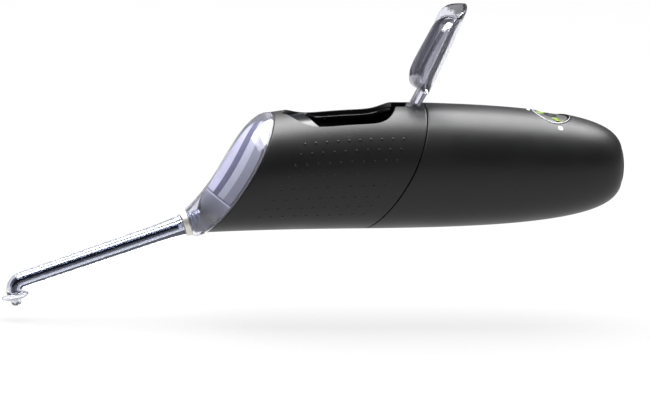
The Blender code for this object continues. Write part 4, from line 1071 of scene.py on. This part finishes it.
def build_nose():
    """The grey wall that closes the handle's front, with the spigot's hole."""
    plate = as_object("handle_nose_wall", body_solid(front_at(0.0045), front_at(0.0025), WALL + GAP, 2))
    start, end = RING_CENTRE - STEM_WAY * 0.004, RING_CENTRE - STEM_WAY * 0.030
    turn = Vector((0, 0, 1)).rotation_difference(end - start).to_matrix().to_4x4()
    bore = rod(0.0036, (end - start).length, 48, Matrix.Translation((start + end) / 2) @ turn)
    combined(plate, "DIFFERENCE", as_object("cut_spigot", bore))
    finished(plate, "handle", NOSE_GREY, ["front_bulkhead"])


# ---------------------------------------------------------------- power button
def button_frame():
    """Local +Z is the surface's outward normal at the middle of the button."""
    _, top, _ = section(BUTTON_X, 0.0)
    return placed(BUTTON_X, top, math.pi / 2 - BUTTON_TILT)


def oval(radius):
    return rounded_outline(radius, radius * BUTTON_STRETCH, 2, 24)


def on_skin(outline, skin, rise, shift=(0.0, 0.0)):
    """The outline laid on the handle's skin in the button's frame, and lifted by rise."""
    moved = [(x + shift[0], y + shift[1]) for x, y in outline]
    return [Vector((x, y, skin(x, y) + rise)) for x, y in moved]


def at_height(outline, height):
    return [Vector((x, y, height)) for x, y in outline]


def set_in_button(name, loops, closed=False):
    bm = lofted(loops, closed)
    bmesh.ops.transform(bm, matrix=button_frame(), verts=bm.verts)
    return as_object(name, bm)


def build_power_button(skin):
    build_button_well(skin)
    build_button_cap(skin)
    mark = [on_skin(oval_mark(MARK_RADIUS * share), skin, rise - BUTTON_DROP, MARK_SHIFT)
            for share, rise in ((1.0, -0.0002), (1.0, 0.00002), (0.96, 0.00005), (0.42, 0.00005),
                                (0.38, 0.00002), (0.38, -0.0002))]
    finished(set_in_button("power_mark", mark, True), "power_button", MARK_BLACK)
    for name, (node, lobes) in BUTTON_LIGHTS.items():
        bm = bmesh.new()
        for x, y, long, wide in lobes:
            place = button_frame() @ Matrix.Translation((x, y, skin(x, y) - BUTTON_DROP))
            bmesh.ops.create_uvsphere(bm, u_segments=32, v_segments=16, radius=1.0,
                                      matrix=place @ Matrix.Diagonal((long, wide, 0.00025, 1)))
        finished(as_object(name, bm), "power_button", LIT_GREEN, [node], sharp=60.0)
    build_skin_marks(skin)


MARK_RADIUS = 0.0026
MARK_SHIFT = (-0.0006, -0.0012)
# Each light's node, and its lobes: middle x and y, half length and half width
BUTTON_LIGHTS = {
    "mode_light_window": (
        "mode_light_guide", ((-0.0046, 0.0002, 0.0013, 0.0016), (-0.0037, 0.0004, 0.0009, 0.0011))),
    "charge_light_window": (
        "charge_light_guide", ((0.0006, -0.0052, 0.0014, 0.0014), (0.0014, -0.0061, 0.0012, 0.0012))),
}


def oval_mark(radius):
    return rounded_outline(radius, radius, 2, 16)


def build_button_well(skin):
    """A black well that follows the skin, with a thin pale grey rim that is a painted highlight."""
    rim = ((WELL_RADIUS, -0.0003), (WELL_RADIUS - 0.0001, -0.00008), (WELL_RADIUS - 0.0003, 0.0),
           (WELL_BORE + 0.0001, -0.00008), (WELL_BORE, -0.0003))
    loops = [at_height(oval(WELL_RADIUS), WELL_BOTTOM)]
    loops += [on_skin(oval(radius), skin, rise) for radius, rise in rim]
    below = ((WELL_BORE, WELL_FLOOR), (WELL_STEM_HOLE, WELL_FLOOR), (WELL_STEM_HOLE, WELL_BOTTOM))
    loops += [at_height(oval(radius), height) for radius, height in below]
    well = set_in_button("button_well", loops, True)
    finished(well, "handle", TANK_BLACK, ["power_button_bezel"])
    well.data.materials.append(PAINTED_RIM_HIGHLIGHT)
    inverse = button_frame().inverted()
    # The rim's top faces get the painted highlight
    for face in well.data.polygons:
        middle = inverse @ face.center
        out = math.hypot(middle.x, middle.y / BUTTON_STRETCH)
        face.material_index = int(out > PAINTED_HIGHLIGHT_RIM_RADIUS and middle.z > skin(middle.x, middle.y) - 0.0002)


# Out from this, the well's top carries the painted rim highlight
PAINTED_HIGHLIGHT_RIM_RADIUS = 0.0069


def build_button_cap(skin):
    edge = 0.0003
    below = ((BUTTON_STEM_RADIUS, BUTTON_STEM_END), (BUTTON_STEM_RADIUS, CAP_BOTTOM),
             (BUTTON_RADIUS, CAP_BOTTOM))
    loops = [at_height(oval(radius), height) for radius, height in below]
    for degrees in (0, 30, 60, 90):
        angle = math.radians(degrees)
        radius = BUTTON_RADIUS - edge * (1 - math.cos(angle))
        loops.append(on_skin(oval(radius), skin, -BUTTON_DROP - edge * (1 - math.sin(angle))))
    for share in (0.85, 0.65, 0.45, 0.25, 0.08):
        loops.append(on_skin(oval(BUTTON_RADIUS * share), skin, -BUTTON_DROP))
    cap = set_in_button("power_button_cap", loops)
    finished(cap, "power_button", BUTTON_GREY, ["power_button"])


def build_skin_marks(skin):
    """Two small white printed marks beside the button well: a short bar and a dot."""
    marks = (("bar_mark", (-0.0088, 0.0006), 0.0006, 0.0010),
             ("dot_mark", (0.0020, -0.0111), 0.0009, 0.0007))
    for name, shift, long, wide in marks:
        loops = [on_skin(rounded_outline(long * share, wide * share, 3, 10), skin, rise, shift)
                 for rise, share in ((-0.00015, 1.0), (0.00002, 1.0), (0.00003, 0.8), (0.00003, 0.3))]
        finished(set_in_button(name, loops), "handle", MARK_WHITE)


def build_trigger():
    outline = rounded_outline(TRIGGER_HALF_LENGTH, TRIGGER_HALF_WIDTH, 5, 18, TRIGGER_X)
    pad = as_object("trigger_pad", skin_plate(outline, 0.0, 0.0030, 0.0004, side=-1))
    grooves = []
    for step in range(-3, 4):
        x = TRIGGER_X + step * GROOVE_STEP
        low = skin_height(x, 0.0, 0.0, -1)
        grooves.append(block((x - GROOVE_HALF, -0.0036, low - 0.001),
                             (x + GROOVE_HALF, 0.0036, low + GROOVE_DEPTH), 0.0001))
    combined(pad, "DIFFERENCE", *as_objects("groove", *grooves))
    finished(pad, "trigger", HANDLE_BLACK, ["trigger_button"])


GROOVE_STEP = 0.0022
GROOVE_HALF = 0.0004
GROOVE_DEPTH = 0.0003


# ---------------------------------------------------------------- studio
def build_studio():
    """A white floor under one long overhead softbox, in a dim room."""
    bm = bmesh.new()
    bmesh.ops.create_grid(bm, x_segments=8, y_segments=8, size=8.0)
    bmesh.ops.translate(bm, vec=(0, 0, FRAME_BOX[0].z - FLOOR_DROP), verts=bm.verts)
    floor = as_object("studio_floor", bm)
    paper = moulded("studio_floor_white", FLOOR_TONE, 0.85, grain=0.004, shade=0.0, specular=0.0)
    shader = paper.node_tree.nodes["Principled BSDF"]
    preset(shader, {"Emission Color": (1, 1, 1, 1), "Emission Strength": FLOOR_GLOW})
    floor.data.materials.append(paper)
    world = bpy.data.worlds.new("studio_world")
    world.use_nodes = True
    preset(world.node_tree.nodes["Background"], {"Color": (0.80, 0.82, 1.0, 1), "Strength": 0.12})
    bpy.context.scene.world = world
    add_softbox("overhead_softbox", AIM + SOFTBOX_REACH, AIM, SOFTBOX_SIZE, SOFTBOX_POWER)
    bpy.context.scene.view_settings.view_transform = "Standard"


FLOOR_DROP = 0.005
FLOOR_TONE = (0.05, 0.05, 0.05)
FLOOR_GLOW = 0.84
SOFTBOX_REACH = Vector((0.02, 0.24, 0.85))
SOFTBOX_SIZE = (1.5, 0.75)
SOFTBOX_POWER = 52.0


def add_softbox(name, place, aim, size, power):
    light = bpy.data.lights.new(name, "AREA")
    light.shape = "RECTANGLE"
    light.size, light.size_y = size
    light.energy = power
    obj = bpy.data.objects.new(name, light)
    obj.location = place
    obj.rotation_euler = (aim - place).to_track_quat("-Z", "Y").to_euler()
    bpy.context.scene.collection.objects.link(obj)


def build_camera():
    """The camera stands in front, a little above the object and turned towards its base."""
    right = Vector((0.9855, -0.1660, 0.0358)).normalized()
    back = Vector((-0.1698, -0.9632, 0.2079)).normalized()
    up = back.cross(right).normalized()
    right = up.cross(back)
    camera = bpy.data.cameras.new("camera")
    camera.lens = 400
    camera.sensor_width = 36
    obj = bpy.data.objects.new("camera", camera)
    turn = Matrix((right, up, back)).transposed().to_4x4()
    obj.matrix_world = Matrix.Translation(AIM + back * CAMERA_DISTANCE) @ turn
    bpy.context.scene.collection.objects.link(obj)
    bpy.context.scene.camera = obj


AIM = Vector((-0.1049, 0, -0.0144))
CAMERA_DISTANCE = 2.705

finish_frame_nodes()
button_skin = build_rear_shell()
build_base_cap()
build_front_shell()
build_grip_dots()
build_reservoir()
build_lid_plate()
build_lid_dome()
build_shroud()
build_stem()
build_ring_and_collar()
build_nose()
build_power_button(button_skin)
build_trigger()
build_studio()
build_camera()
